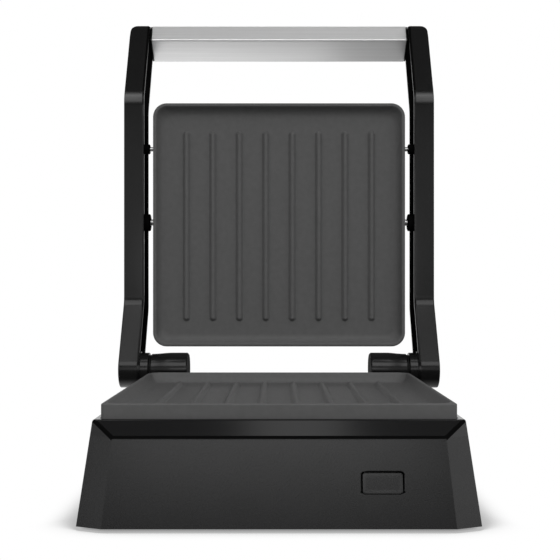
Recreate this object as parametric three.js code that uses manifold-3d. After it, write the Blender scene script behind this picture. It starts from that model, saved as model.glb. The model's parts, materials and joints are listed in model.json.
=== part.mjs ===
// Contact grill with two ribbed tray plates, open at a right angle.
// Millimetres, +X to the right, +Y to the rear, +Z up. The origin is on the ground,
// under the middle of the open grill.

import * as THREE from 'three';
import { mergeVertices } from 'three/addons/utils/BufferGeometryUtils.js';
import { ConvexGeometry } from 'three/addons/geometries/ConvexGeometry.js';
import Module from 'manifold-3d';

const wasm = await Module();
wasm.setup();

// Clearances shared by all pieces, and how far a cutting shape runs past what it cuts.
const gap = { seat: 0.3, recess: 0.8, button: 0.5 };
const overrun = 1;

// Faces on round shapes and corners.
const facets = { barrel: 36, pin: 16, post: 8, corner: 4, ribEnd: 2, bend: 3 };

// Cooking plate: a cast tray with a lip, sloping walls, a flat floor and raised ribs.
const plate = {
  width: 230,
  length: 222,
  cornerRadius: 12.5,
  sharpRadius: 3,
  show: 9.6,
  lip: 3,
  wallRun: 9,
  trayDepth: 8.4,
  floorThickness: 3.2,
  floorCornerRadius: 8,
  skirtInset: 4.1,
  skirtWall: 3.9,
  postRadius: 4,
};
const trayWallShares = [[0, 0], [0.16, 0.45], [0.45, 0.83], [1, 1]];
const rib = { count: 8, pitch: 24.3, width: 7.6, height: 3, frontInset: 25, rearInset: 23.6 };
const ribProfileShares = [[1, 0], [0.74, 0.4], [0.48, 0.8], [0.22, 1]];

// A corner keeps at least this share of its radius when its outline is drawn in.
const keptRadiusShare = 0.5;

// Base housing: leaning walls, faceted front corners and a bevelled band under the rim.
const base = {
  wall: 2.5,
  rimHeight: 65.8,
  bandDrop: 10.7,
  deckDrop: 7.8,
  recessDepth: 5.8,
  ledgeWidth: 7,
  sideMargin: 4.2,
  frontMargin: 3.8,
  rearMargin: 3.2,
  bandRun: 7.7,
  bandCorner: 13.7,
  frontLean: 8.9,
  sideLean: 8.4,
  facetRun: 17,
  facetSetback: 6.9,
  rearOverhang: 22,
  rearCorner: 9,
  deckSlope: 3,
};
const cover = {
  thickness: 3,
  ventLength: 34,
  ventWidth: 3,
  ventPitch: 9,
  ventCount: 6,
  ventOffset: 45,
};
const coverPost = { radius: 4.5, sideInset: 15.4, frontInset: 22, rearInset: 16 };
const screw = {
  shank: 1.5,
  head: 3.2,
  headHeight: 1.4,
  length: 12,
  recess: 0.3,
  slotDepth: 0.7,
  slotWidth: 0.8,
};
const foot = {
  drop: 2.5,
  radius: 8,
  soleRadius: 7,
  pegRadius: 3,
  pegLength: 5,
  sideInset: 34,
  endInset: 20,
};

// Hinge between base and arms.
const hinge = {
  setback: 20.1,
  rise: 1.2,
  closedGap: 4.8,
  barrelRadius: 14.8,
  barrelEdge: 3,
  barrelLength: 35.4,
  washerThickness: 1.4,
  washerInset: 2,
  shaftRadius: 4,
  shaftInnerWall: 6,
  shaftCap: 4,
  saddleInset: 4,
  saddleLength: 22,
  saddleWidth: 21,
  saddleFlare: 3,
};
const barrelEdgeShares = [0, 0.3, 0.7, 1];

// Arms: one outline for both, seen from the side with the grill open.
const arm = {
  sideGap: 9.9,
  width: 18.5,
  hingeRadius: 16.8,
  bossReach: 7.7,
  frontOffset: 15.2,
  lowerBend: 61.5,
  upperBend: 250,
  upperLength: 91.3,
  upperLean: THREE.MathUtils.degToRad(26.6),
  thickness: 32.4,
  bendRadius: 20,
  endRadius: 10,
  edge: 0.9,
  wall: 2.6,
  coverThickness: 2.2,
  postRadius: 5,
  highPostShare: 0.33,
};

// Pivot that lets the upper grill tilt in the arms, and the pin that limits the tilt.
const pivot = {
  back: 26.5,
  up: 134.7,
  nubRadius: 8,
  nubReach: 5,
  pinRadius: 3,
  pinEmbed: 7,
  bossRadius: 8,
};
const limit = { back: 24, up: 203, nubRadius: 4.6, pinRadius: 2, bossRadius: 6 };
const tilt = THREE.MathUtils.degToRad(2);
const bush = { wall: 2, flange: 2, flangeThickness: 2.4 };
const pinTail = 3;

// Handle bar: a hollow metal profile between the arms.
const handle = {
  endGap: 1.8,
  wall: 2,
  inset: 5.9,
  depth: 26,
  height: 17,
  droop: 3.4,
  edgeRadius: 1.6,
  plugLength: 16,
  screwRadius: 2,
  screwHead: 4,
  screwHeadHeight: 2.5,
  screwLength: 16,
};

// Upper housing behind the upper plate.
const lid = {
  margin: 0.5,
  depth: 37,
  bevelRun: 12,
  bevelDepth: 12,
  draft: 1.2,
  wall: 2.6,
  postSide: 8,
  postEnd: 13,
};

// Heater parts, the same under both plates.
const element = {
  radius: 3.3,
  inset: 34,
  bend: 22,
  terminalBend: 8,
  terminalSpan: 30,
  terminalReach: 5,
  steps: 48,
  quarterSides: 3,
};
const pan = { inset: 14, thickness: 0.8, depth: 9.2, cornerRadius: 10, holeInset: 18 };
const panScrew = { ...screw, length: 9 };
const thermostat = {
  radius: 8,
  height: 7,
  flange: 10.5,
  flangeThickness: 1,
  tabWidth: 4,
  tabLength: 6,
  tabThickness: 1,
};
const fuse = { radius: 2.4, length: 13, leadRadius: 0.7, leadLength: 9, offset: 34, back: 20 };

// Push button on the front face, with its guide and switch.
const button = {
  offset: 64.9,
  height: 27.6,
  width: 26.3,
  tall: 13.7,
  cornerRadius: 2,
  proud: 1.1,
  border: 1.9,
  dish: 0.7,
  edge: 0.5,
  depth: 6,
  stemRadius: 2.5,
  stemLength: 11,
  travel: 2,
};
const guide = { wall: 2.4, depth: 8, backThickness: 2.5 };
const powerSwitch = {
  width: 21,
  tall: 13,
  depth: 14,
  tabWidth: 5,
  tabLength: 6,
  tabThickness: 0.8,
  tabPitch: 9,
};

// Cord inlet in the rear wall and the terminals behind it. No cord is fitted.
const gland = {
  height: 24,
  bore: 4,
  neck: 6.5,
  flange: 9.5,
  flangeThickness: 3,
  collarThickness: 2,
  edge: 1,
};
const terminal = { width: 34, depth: 15, height: 13, bore: 2.2, count: 3, pitch: 10, setback: 12 };

// Values worked out from the sizes above.
const faceHeight = base.rimHeight - base.bandDrop;
const deckHeight = base.rimHeight - base.deckDrop;
const plateHeight = plate.show + base.recessDepth - gap.seat;
const rimPlane = base.rimHeight + plate.show;
const axisHeight = rimPlane + hinge.rise;
const plateCentre = hinge.setback + plate.length / 2;
const lidRim = hinge.closedGap - hinge.rise;
const armInner = plate.width / 2 + arm.sideGap;
const armOuter = armInner + arm.width;
const seam = armInner - arm.bossReach;
const barrelInner = seam - hinge.barrelLength;
const handleHalf = armInner - handle.endGap;
const rimHalf = plate.width / 2 + base.sideMargin;
const bottomHalf = rimHalf + base.sideLean;
const rimFront = -(hinge.setback + plate.length + base.frontMargin);
const rimRear = base.rearMargin - hinge.setback;
const faceTop = rimFront - base.bandRun;
const faceBottom = faceTop - base.frontLean;
const faceLean = Math.atan2(base.frontLean, faceHeight);
const ledgeHeight = base.rimHeight - base.recessDepth;
const cavityTop = deckHeight - base.wall;
const floorUnder = plate.trayDepth + plate.floorThickness;
const armUp = new THREE.Vector2(Math.sin(arm.upperLean), Math.cos(arm.upperLean));
const armBack = new THREE.Vector2(armUp.y, -armUp.x);
const upperBendPoint = new THREE.Vector2(arm.frontOffset, arm.upperBend);
const rearReach = Math.max(...[...armOutline(), ...handleSection()].map((point) => point.x));
const centreShift = -(rearReach + faceBottom) / 2;

// A point on the upper part of an arm, given by its distance behind the front line and along it.
function armPoint(back, along) {
  return upperBendPoint.clone().addScaledVector(armUp, along).addScaledVector(armBack, back);
}

// Materials, one for each finish.
function finish(color, roughness, metalness) {
  return new THREE.MeshStandardMaterial({ color, roughness, metalness });
}

const blackPlastic = finish(0x2a2b2c, 0.42, 0);
const coating = finish(0x4b4c4d, 0.55, 0.2);
const aluminium = finish(0xb9babb, 0.34, 1);
const steel = finish(0xa8a9ab, 0.28, 1);
const tin = finish(0x9a9b9c, 0.45, 1);
const heaterSheath = finish(0x4a4d46, 0.5, 0.8);
const rubber = finish(0x151515, 0.85, 0);
const palePlastic = finish(0xd8d6cf, 0.6, 0);
const washerPlastic = finish(0x101010, 0.6, 0);

// A closed geometry becomes a solid: positions alone, merged, without collapsed triangles.
function toSolid(geometry) {
  const bare = new THREE.BufferGeometry();
  bare.setAttribute('position', geometry.getAttribute('position').clone());
  if (geometry.index) bare.setIndex(geometry.index.clone());
  const merged = mergeVertices(bare);
  const corners = merged.index.array;
  const kept = [];
  for (let i = 0; i < corners.length; i += 3) {
    const [a, b, c] = [corners[i], corners[i + 1], corners[i + 2]];
    if (a !== b && b !== c && c !== a) kept.push(a, b, c);
  }
  return new wasm.Manifold(new wasm.Mesh({
    numProp: 3,
    vertProperties: new Float32Array(merged.getAttribute('position').array),
    triVerts: new Uint32Array(kept),
  }));
}

function toGeometry(solid) {
  const mesh = solid.getMesh();
  const geometry = new THREE.BufferGeometry();
  geometry.setAttribute('position', new THREE.BufferAttribute(mesh.vertProperties, 3));
  geometry.setIndex(new THREE.BufferAttribute(mesh.triVerts, 1));
  geometry.computeVertexNormals();
  return geometry;
}

// The mirror image of a geometry across the middle plane, with its faces still pointing out.
function mirrored(geometry) {
  const copy = geometry.clone();
  copy.scale(-1, 1, 1);
  const corners = copy.index.array;
  for (let i = 0; i < corners.length; i += 3) {
    [corners[i + 1], corners[i + 2]] = [corners[i + 2], corners[i + 1]];
  }
  copy.computeVertexNormals();
  return copy;
}

function addPiece(group, name, solid, material) {
  const mesh = new THREE.Mesh(toGeometry(solid), material);
  mesh.name = name;
  group.add(mesh);
  return mesh;
}

// A piece on the right and its mirror image on the left.
function addPair(group, name, solid, material) {
  const right = toGeometry(solid);
  for (const [side, geometry] of [['right', right], ['left', mirrored(right)]]) {
    const mesh = new THREE.Mesh(geometry, material);
    mesh.name = `${side}_${name}`;
    group.add(mesh);
  }
}

// Moves every edge of a counter-clockwise outline inwards by a distance.
function insetOutline(points, distance) {
  return points.map((point, i) => {
    const before = points[(i + points.length - 1) % points.length];
    const after = points[(i + 1) % points.length];
    const first = point.clone().sub(before).normalize();
    const second = after.clone().sub(point).normalize();
    const normals = new THREE.Vector2(-first.y - second.y, first.x + second.x);
    return point.clone().addScaledVector(normals, distance / (1 + first.dot(second)));
  });
}

// Rounds the corners of an outline with arcs; a radius of zero keeps a corner sharp.
function filletOutline(points, radii, steps = facets.bend) {
  return points.flatMap((point, i) => {
    if (radii[i] === 0) return [point];
    const before = points[(i + points.length - 1) % points.length];
    const after = points[(i + 1) % points.length];
    const first = point.clone().sub(before).normalize();
    const second = after.clone().sub(point).normalize();
    const turn = Math.atan2(first.cross(second), first.dot(second));
    const side = Math.sign(turn);
    const start = point.clone().addScaledVector(first, -radii[i] * Math.tan(Math.abs(turn) / 2));
    const normal = new THREE.Vector2(-first.y, first.x).multiplyScalar(side * radii[i]);
    const centre = start.clone().add(normal);
    return Array.from({ length: steps + 1 }, (_, k) => {
      const spoke = normal.clone().negate().rotateAround(new THREE.Vector2(), (turn * k) / steps);
      return centre.clone().add(spoke);
    });
  });
}

function roundedRect(width, length, radius, steps = facets.corner) {
  const [x, y] = [width / 2, length / 2];
  const corners = [[-x, -y], [x, -y], [x, y], [-x, y]].map(([u, v]) => new THREE.Vector2(u, v));
  return filletOutline(corners, corners.map(() => radius), steps);
}

function moved(outline, x, y) {
  return outline.map((point) => new THREE.Vector2(point.x + x, point.y + y));
}

// A solid through convex outlines of equal point counts, at rising heights.
function loft(sections) {
  const count = sections[0].outline.length;
  const positions = sections.flatMap(({ outline, at }) => outline.flatMap((p) => [p.x, p.y, at]));
  const corners = [];
  for (let s = 0; s < sections.length - 1; s += 1) {
    for (let i = 0; i < count; i += 1) {
      const a = s * count + i;
      const b = s * count + ((i + 1) % count);
      corners.push(a, b, b + count, a, b + count, a + count);
    }
  }
  const top = (sections.length - 1) * count;
  for (let i = 1; i < count - 1; i += 1) {
    corners.push(0, i + 1, i, top, top + i, top + i + 1);
  }
  const geometry = new THREE.BufferGeometry();
  geometry.setAttribute('position', new THREE.Float32BufferAttribute(positions, 3));
  geometry.setIndex(corners);
  return toSolid(geometry);
}

// An outline raised from one height to another.
function prism(outline, low, high) {
  return loft([{ outline, at: low }, { outline, at: high }]);
}

// An outline in the side view, as (back, up), extruded along X with chamfered end faces.
function sidePrism(outline, from, to, edge = 0) {
  const geometry = new THREE.ExtrudeGeometry(new THREE.Shape(outline), {
    depth: to - from - 2 * edge,
    bevelEnabled: edge > 0,
    bevelThickness: edge,
    bevelSize: edge,
    bevelOffset: -edge,
    bevelSegments: 1,
    curveSegments: 1,
  });
  geometry.translate(0, 0, from + edge);
  const [x, y, z] = [0, 1, 2].map((axis) => new THREE.Vector3().setComponent(axis, 1));
  geometry.applyMatrix4(new THREE.Matrix4().makeBasis(y, z, x));
  return toSolid(geometry);
}

// A turned profile of [radius, place] pairs, standing on the XY plane along Z.
function turned(profile, sides) {
  const points = profile.map(([radius, place]) => new THREE.Vector2(radius, place));
  const geometry = new THREE.LatheGeometry(points, sides);
  geometry.rotateX(Math.PI / 2);
  return geometry;
}

function rod(radius, from, to, sides = facets.pin) {
  return turned([[0, from], [radius, from], [radius, to], [0, to]], sides);
}

function alongZ(geometry, x, y) {
  return toSolid(geometry.clone().translate(x, y, 0));
}

// Turns a profile along Z to lie along X, at a place in the side view.
function alongX(geometry, back = 0, up = 0) {
  return toSolid(geometry.clone().rotateY(Math.PI / 2).translate(0, back, up));
}

// Turns a profile along Z to point to the rear.
function alongY(geometry, x, up) {
  return toSolid(geometry.clone().rotateX(-Math.PI / 2).translate(x, 0, up));
}

function block(x, y, z) {
  const geometry = new THREE.BoxGeometry(x[1] - x[0], y[1] - y[0], z[1] - z[0]);
  geometry.translate((x[0] + x[1]) / 2, (y[0] + y[1]) / 2, (z[0] + z[1]) / 2);
  return toSolid(geometry);
}

function join(...solids) {
  return solids.flat().reduce((whole, solid) => whole.add(solid));
}

function cut(whole, ...solids) {
  return solids.flat().reduce((rest, solid) => rest.subtract(solid), whole);
}

// The four places at plus and minus x, between a front and a rear y.
function fourPlaces(x, front, rear) {
  return [[-x, front], [x, front], [x, rear], [-x, rear]];
}

// The radius of a corner after its outline is drawn in.
function keptRadius(radius, inset) {
  return Math.max(radius - inset, radius * keptRadiusShare);
}

// The outline of a plate, drawn in by an inset.
function plateOutline(inset, radius = keptRadius(plate.cornerRadius, inset)) {
  return roundedRect(plate.width - 2 * inset, plate.length - 2 * inset, radius);
}

// The outline of the lower plate, whose corners away from the hinge are sharper.
function lowerPlateOutline(inset) {
  const [x, y] = [plate.width / 2 - inset, plate.length / 2 - inset];
  const corners = [[-x, -y], [x, -y], [x, y], [-x, y]].map(([u, v]) => new THREE.Vector2(u, v));
  const sharp = keptRadius(plate.sharpRadius, inset);
  const round = keptRadius(plate.cornerRadius, inset);
  return filletOutline(corners, [sharp, sharp, round, round], facets.corner);
}

// One raised rib with round ends, standing on the tray floor.
function ribSolid(x, length, middle) {
  const sections = [{ share: 1, at: -plate.trayDepth - plate.floorThickness / 2 }];
  for (const [share, rise] of ribProfileShares) {
    sections.push({ share, at: -plate.trayDepth + rise * rib.height });
  }
  return loft(sections.map(({ share, at }) => {
    const width = rib.width * share;
    const ends = length - rib.width + width;
    const outline = roundedRect(width, ends, width / 2, facets.ribEnd);
    return { outline: moved(outline, x, middle), at };
  }));
}

// Tray plate in its own frame: the rim plane at z = 0, food side up, hinge side towards +Y.
// The upper plate's wall is drawn in below the part that shows.
function grillPlate(isUpper, hingeSide) {
  const outer = isUpper
    ? join(
      prism(plateOutline(0), gap.seat - plate.show, 0),
      prism(plateOutline(plate.skirtInset), -plateHeight, -plate.lip),
    )
    : prism(lowerPlateOutline(0), -plateHeight, 0);
  const tray = loft([
    ...trayWallShares.map(([run, drop]) => ({
      outline: roundedRect(
        plate.width - 2 * (plate.lip + run * plate.wallRun),
        plate.length - 2 * (plate.lip + run * plate.wallRun),
        THREE.MathUtils.lerp(plate.cornerRadius - plate.lip, plate.floorCornerRadius, run),
      ),
      at: -drop * plate.trayDepth,
    })).reverse(),
    { outline: plateOutline(plate.lip, plate.cornerRadius - plate.lip), at: overrun },
  ]);
  const pocketInset = plate.skirtInset + plate.skirtWall;
  const pocket = prism(plateOutline(pocketInset), -plateHeight - overrun, -floorUnder);
  const ribLength = plate.length - rib.frontInset - rib.rearInset;
  const ribMiddle = (hingeSide * (rib.frontInset - rib.rearInset)) / 2;
  const ribs = Array.from({ length: rib.count }, (_, i) => {
    return ribSolid((i - (rib.count - 1) / 2) * rib.pitch, ribLength, ribMiddle);
  });
  const postEnd = -(floorUnder + pan.depth - pan.thickness);
  const post = rod(plate.postRadius, postEnd, -floorUnder + overrun, facets.post);
  const pilot = rod(screw.shank + gap.seat, postEnd - overrun, -floorUnder, facets.post);
  const places = panHolePlaces();
  const posts = places.map(([x, y]) => alongZ(post, x, y));
  const pilots = places.map(([x, y]) => alongZ(pilot, x, y));
  return cut(join(cut(outer, tray, pocket), ribs, posts), pilots);
}

// Screw with a slotted head, pointing along +Z from its head's flat face at z = 0.
function screwProfile(size) {
  const body = toSolid(turned([
    [0, 0],
    [size.head, 0],
    [size.head, size.headHeight],
    [size.shank, size.headHeight],
    [size.shank, size.length],
    [0, size.length],
  ], facets.post));
  const half = size.slotWidth / 2;
  const reach = size.head + overrun;
  return cut(body, block([-half, half], [-reach, reach], [-overrun, size.slotDepth]));
}

// Moves a solid by a matrix.
function placed(solid, matrix) {
  return toSolid(toGeometry(solid).applyMatrix4(matrix));
}

// Outline of the base housing at a height, seen from above, with its front facets.
function baseOutline(height, inset = 0) {
  const rise = height / base.rimHeight;
  const faceRise = height / faceHeight;
  const half = bottomHalf - base.sideLean * rise;
  const front = faceBottom + base.frontLean * faceRise;
  const frontHalf = THREE.MathUtils.lerp(bottomHalf - base.facetRun, rimHalf - base.bandCorner, faceRise);
  const facet = THREE.MathUtils.lerp(faceBottom + base.facetSetback, rimFront, rise);
  const right = [
    [frontHalf, front],
    [half, facet],
    [half, base.rearOverhang - base.rearCorner],
    [half - base.rearCorner, base.rearOverhang],
  ];
  const left = right.map(([x, y]) => [-x, y]).reverse();
  const outline = [...right, ...left].map(([x, y]) => new THREE.Vector2(x, y));
  return inset > 0 ? insetOutline(outline, inset) : outline;
}

// Outer form: leaning faces, facets and band, with the deck cut lower behind the rim.
function housingForm() {
  const bottom = baseOutline(0).map((p) => new THREE.Vector3(p.x, p.y, 0));
  const rim = baseOutline(base.rimHeight)
    .slice(1, -1)
    .map((p) => new THREE.Vector3(p.x, p.y, base.rimHeight));
  const bandHalf = rimHalf - base.bandCorner;
  const band = [-bandHalf, bandHalf].map((x) => new THREE.Vector3(x, faceTop, faceHeight));
  const hull = toSolid(new ConvexGeometry([...bottom, ...band, ...rim]));
  const far = base.rearOverhang + overrun;
  const high = base.rimHeight + overrun;
  const step = [
    [rimRear + base.deckSlope, deckHeight],
    [far, deckHeight],
    [far, high],
    [rimRear, high],
    [rimRear, base.rimHeight],
  ].map(([back, up]) => new THREE.Vector2(back, up));
  return cut(hull, sidePrism(step, -bottomHalf - overrun, bottomHalf + overrun));
}

// Frame on the front face at the button: z outwards, y up along the face.
function faceFrame() {
  const front = faceBottom + (base.frontLean * button.height) / faceHeight;
  return new THREE.Matrix4()
    .makeRotationX(Math.PI / 2 - faceLean)
    .setPosition(button.offset, front, button.height);
}

function coverPostPlaces() {
  return fourPlaces(
    bottomHalf - coverPost.sideInset,
    faceBottom + coverPost.frontInset,
    base.rearOverhang - coverPost.rearInset,
  );
}

function footPlaces() {
  return fourPlaces(
    bottomHalf - foot.sideInset,
    faceBottom + foot.endInset,
    base.rearOverhang - foot.endInset,
  );
}

function baseHousing() {
  const cavity = loft([
    { outline: baseOutline(0, base.wall), at: -overrun },
    { outline: baseOutline(0, base.wall), at: 0 },
    { outline: baseOutline(cavityTop, base.wall), at: cavityTop },
  ]);
  const recess = lowerPlateOutline(-gap.recess);
  const ledge = plateOutline(base.ledgeWidth);
  const postLow = cover.thickness + gap.seat;
  const post = rod(coverPost.radius, postLow, cavityTop + overrun, facets.post);
  const pilotEnd = screw.recess + screw.length + overrun;
  const pilot = rod(screw.shank + gap.seat, postLow - overrun, pilotEnd, facets.post);
  const opening = roundedRect(button.width, button.tall, button.cornerRadius);
  const hole = placed(prism(opening, -2 * base.wall, overrun), faceFrame());
  const inlet = rod(gland.neck + gap.seat, base.rearOverhang - 2 * base.wall, base.rearOverhang + overrun);
  const shell = cut(
    housingForm(),
    cavity,
    prism(moved(recess, 0, -plateCentre), ledgeHeight, base.rimHeight + overrun),
    prism(moved(ledge, 0, -plateCentre), cavityTop - overrun, ledgeHeight + overrun),
    hole,
    alongY(inlet, 0, gland.height),
  );
  const posts = coverPostPlaces().map(([x, y]) => alongZ(post, x, y));
  const pilots = coverPostPlaces().map(([x, y]) => alongZ(pilot, x, y));
  return cut(join(shell, posts), pilots);
}

// Flat cover in the bottom of the housing, with vent slots, screw holes and foot holes.
function bottomCover() {
  const sheet = prism(baseOutline(cover.thickness, base.wall + gap.seat), 0, cover.thickness);
  const slot = roundedRect(cover.ventWidth, cover.ventLength, cover.ventWidth / 2, facets.ribEnd);
  const vents = [-cover.ventOffset, cover.ventOffset].flatMap((x) => {
    return Array.from({ length: cover.ventCount }, (_, i) => {
      const place = x + (i - (cover.ventCount - 1) / 2) * cover.ventPitch;
      return prism(moved(slot, place, -plateCentre), -overrun, cover.thickness + overrun);
    });
  });
  const seat = screw.recess + screw.headHeight + gap.seat;
  const hole = turned([
    [0, -overrun],
    [screw.head + gap.seat, -overrun],
    [screw.head + gap.seat, seat],
    [screw.shank + gap.seat, seat],
    [screw.shank + gap.seat, cover.thickness + overrun],
    [0, cover.thickness + overrun],
  ], facets.post);
  const holes = coverPostPlaces().map(([x, y]) => alongZ(hole, x, y));
  const pegHole = rod(foot.pegRadius + gap.seat, -overrun, cover.thickness + overrun, facets.post);
  const pegHoles = footPlaces().map(([x, y]) => alongZ(pegHole, x, y));
  return cut(sheet, vents, holes, pegHoles);
}

function rubberFoot() {
  return toSolid(turned([
    [0, -foot.drop],
    [foot.soleRadius, -foot.drop],
    [foot.radius, -foot.drop / 2],
    [foot.radius, -gap.seat],
    [foot.pegRadius, -gap.seat],
    [foot.pegRadius, foot.pegLength],
    [0, foot.pegLength],
  ], facets.pin));
}

// Heating tube: one loop under the plate with both ends on the hinge side.
function heatingElement(hingeSide) {
  const side = plate.width / 2 - element.inset;
  const end = hingeSide * (plate.length / 2 - element.inset);
  const tip = hingeSide * (plate.length / 2 - pan.inset + element.terminalReach);
  const half = element.terminalSpan / 2;
  const leftHalf = [[-half, tip], [-half, end], [-side, end], [-side, -end]];
  const rightHalf = leftHalf.map(([x, y]) => [-x, y]).reverse();
  const corners = [...leftHalf, ...rightHalf].map(([x, y]) => new THREE.Vector2(x, y));
  const { bend, terminalBend } = element;
  const radii = [0, terminalBend, bend, bend, bend, bend, terminalBend, 0];
  const bent = filletOutline(corners, radii, facets.bend).map((p) => new THREE.Vector3(p.x, p.y, 0));
  const path = new THREE.CurvePath();
  bent.slice(1).forEach((point, i) => path.add(new THREE.LineCurve3(bent[i], point)));
  const section = new THREE.Shape();
  section.absarc(0, 0, element.radius, 0, 2 * Math.PI);
  const tube = new THREE.ExtrudeGeometry(section, {
    extrudePath: path,
    steps: element.steps,
    curveSegments: element.quarterSides,
  });
  tube.translate(0, 0, -(floorUnder + gap.seat + element.radius));
  return toSolid(tube);
}

function panHolePlaces() {
  const place = plate.lip + plate.wallRun + pan.holeInset;
  return fourPlaces(plate.width / 2 - place, place - plate.length / 2, plate.length / 2 - place);
}

// Shallow tin pan that keeps the heat under the plate, notched for the heating tube's ends.
function reflectorPan(hingeSide) {
  const top = -(floorUnder + gap.seat);
  const bottom = top - pan.depth;
  const outer = prism(plateOutline(pan.inset, pan.cornerRadius), bottom, top);
  const innerOutline = plateOutline(pan.inset + pan.thickness, pan.cornerRadius - pan.thickness);
  const inner = prism(innerOutline, bottom + pan.thickness, top + overrun);
  const wall = hingeSide * (plate.length / 2 - pan.inset);
  const notchHalf = element.radius + gap.seat;
  const notches = [-1, 1].map((side) => {
    const x = (side * element.terminalSpan) / 2;
    return block(
      [x - notchHalf, x + notchHalf],
      [wall - 2 * pan.thickness, wall + 2 * pan.thickness],
      [top - 2 * notchHalf, top + overrun],
    );
  });
  const hole = rod(screw.shank + gap.seat, bottom - overrun, bottom + 2 * pan.thickness, facets.post);
  const holes = panHolePlaces().map(([x, y]) => alongZ(hole, x, y));
  return cut(outer, inner, notches, holes);
}

// Snap-disc thermostat under the pan: a flanged can with two tabs.
function thermostatSolid() {
  const can = toSolid(turned([
    [0, -thermostat.height],
    [thermostat.radius, -thermostat.height],
    [thermostat.radius, -thermostat.flangeThickness],
    [thermostat.flange, -thermostat.flangeThickness],
    [thermostat.flange, 0],
    [0, 0],
  ], facets.pin));
  const tabs = [-1, 1].map((side) => {
    const x = (side * thermostat.radius) / 2;
    const half = thermostat.tabThickness / 2;
    return block(
      [x - half, x + half],
      [-thermostat.tabWidth / 2, thermostat.tabWidth / 2],
      [-thermostat.height - thermostat.tabLength, -thermostat.height + overrun],
    );
  });
  return join(can, tabs);
}

// Thermal fuse: a small sleeve with a lead at each end, lying along X.
function thermalFuse() {
  const half = fuse.length / 2;
  const tip = half + fuse.leadLength;
  return alongX(turned([
    [0, -tip],
    [fuse.leadRadius, -tip],
    [fuse.leadRadius, -half],
    [fuse.radius, -half],
    [fuse.radius, half],
    [fuse.leadRadius, half],
    [fuse.leadRadius, tip],
    [0, tip],
  ], facets.post));
}

// Right-hand barrel on its saddle, fixed to the deck. The frame is the hinge axis.
function hingeBarrel() {
  const end = seam - 2 * gap.seat - hinge.washerThickness;
  const slopes = barrelEdgeShares.map((share) => {
    const angle = (share * Math.PI) / 2;
    const radius = hinge.barrelRadius - hinge.barrelEdge * (1 - Math.sin(angle));
    return [radius, barrelInner + hinge.barrelEdge * (1 - Math.cos(angle))];
  });
  const round = turned([[0, barrelInner], ...slopes, [hinge.barrelRadius, end], [0, end]], facets.barrel);
  const low = deckHeight + gap.seat - axisHeight;
  const saddleFrom = barrelInner + hinge.saddleInset;
  const middle = saddleFrom + hinge.saddleLength / 2;
  const flared = (flare) => {
    const [across, along] = [hinge.saddleLength + 2 * flare, hinge.saddleWidth + 2 * flare];
    return moved(roundedRect(across, along, hinge.saddleFlare, facets.ribEnd), middle, 0);
  };
  const saddle = loft([
    { outline: flared(hinge.saddleFlare), at: low },
    { outline: flared(0), at: low + hinge.saddleFlare },
    { outline: flared(0), at: 0 },
  ]);
  const bore = rod(hinge.shaftRadius + gap.seat, barrelInner + hinge.shaftInnerWall, end + overrun);
  return cut(join(alongX(round), saddle), alongX(bore));
}

function hingeWasher() {
  const outer = seam - gap.seat;
  const inner = outer - hinge.washerThickness;
  const ring = [
    [hinge.shaftRadius + gap.seat, inner],
    [hinge.barrelRadius - hinge.washerInset, inner],
    [hinge.barrelRadius - hinge.washerInset, outer],
    [hinge.shaftRadius + gap.seat, outer],
    [hinge.shaftRadius + gap.seat, inner],
  ];
  return alongX(turned(ring, facets.barrel));
}

function hingeShaft() {
  const from = barrelInner + hinge.shaftInnerWall + gap.seat;
  const to = armOuter - hinge.shaftCap - gap.seat;
  return alongX(rod(hinge.shaftRadius, from, to));
}

// The angle of a line through a point that touches the hinge end of an arm on one side.
function touchingAngle(point, side) {
  return point.angle() + side * Math.asin(arm.hingeRadius / point.length());
}

// Corners of an arm in the side view, counter-clockwise from the rear of the hinge end.
function armCorners() {
  const frontLow = new THREE.Vector2(arm.frontOffset, arm.lowerBend);
  const frontAngle = touchingAngle(frontLow, -1);
  const lowerBack = new THREE.Vector2(Math.sin(frontAngle), -Math.cos(frontAngle));
  const straightBack = new THREE.Vector2(1, 0);
  const mitre = (from, first, second) => {
    const scale = arm.thickness / (1 + first.dot(second));
    return from.clone().addScaledVector(first, scale).addScaledVector(second, scale);
  };
  const rearLow = mitre(frontLow, lowerBack, straightBack);
  const rearHigh = mitre(upperBendPoint, straightBack, armBack);
  const rearAngle = touchingAngle(rearLow, 1);
  const frontTouch = lowerBack.clone().multiplyScalar(-arm.hingeRadius);
  const rearTouch = new THREE.Vector2(Math.sin(rearAngle), -Math.cos(rearAngle));
  rearTouch.multiplyScalar(arm.hingeRadius);
  const topRear = armPoint(arm.thickness, arm.upperLength);
  const topFront = armPoint(0, arm.upperLength);
  return [rearTouch, rearLow, rearHigh, topRear, topFront, upperBendPoint, frontLow, frontTouch];
}

function armOutline(inset = 0) {
  const corners = inset > 0 ? insetOutline(armCorners(), inset) : armCorners();
  const end = keptRadius(arm.endRadius, inset);
  const radii = [0, arm.bendRadius, arm.bendRadius, end, end, arm.bendRadius, arm.bendRadius, 0];
  return filletOutline(corners, radii);
}

// Where the cover lies in an arm, from its inner to its outer face.
const coverInner = armInner + gap.seat;
const coverOuter = coverInner + arm.coverThickness;
const pinOuter = coverOuter + gap.seat + pivot.pinEmbed;

function handleCentre() {
  const middle = (handle.height + handle.droop / 2) / 2;
  return armPoint(handle.inset + handle.depth / 2, arm.upperLength - middle);
}

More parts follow.
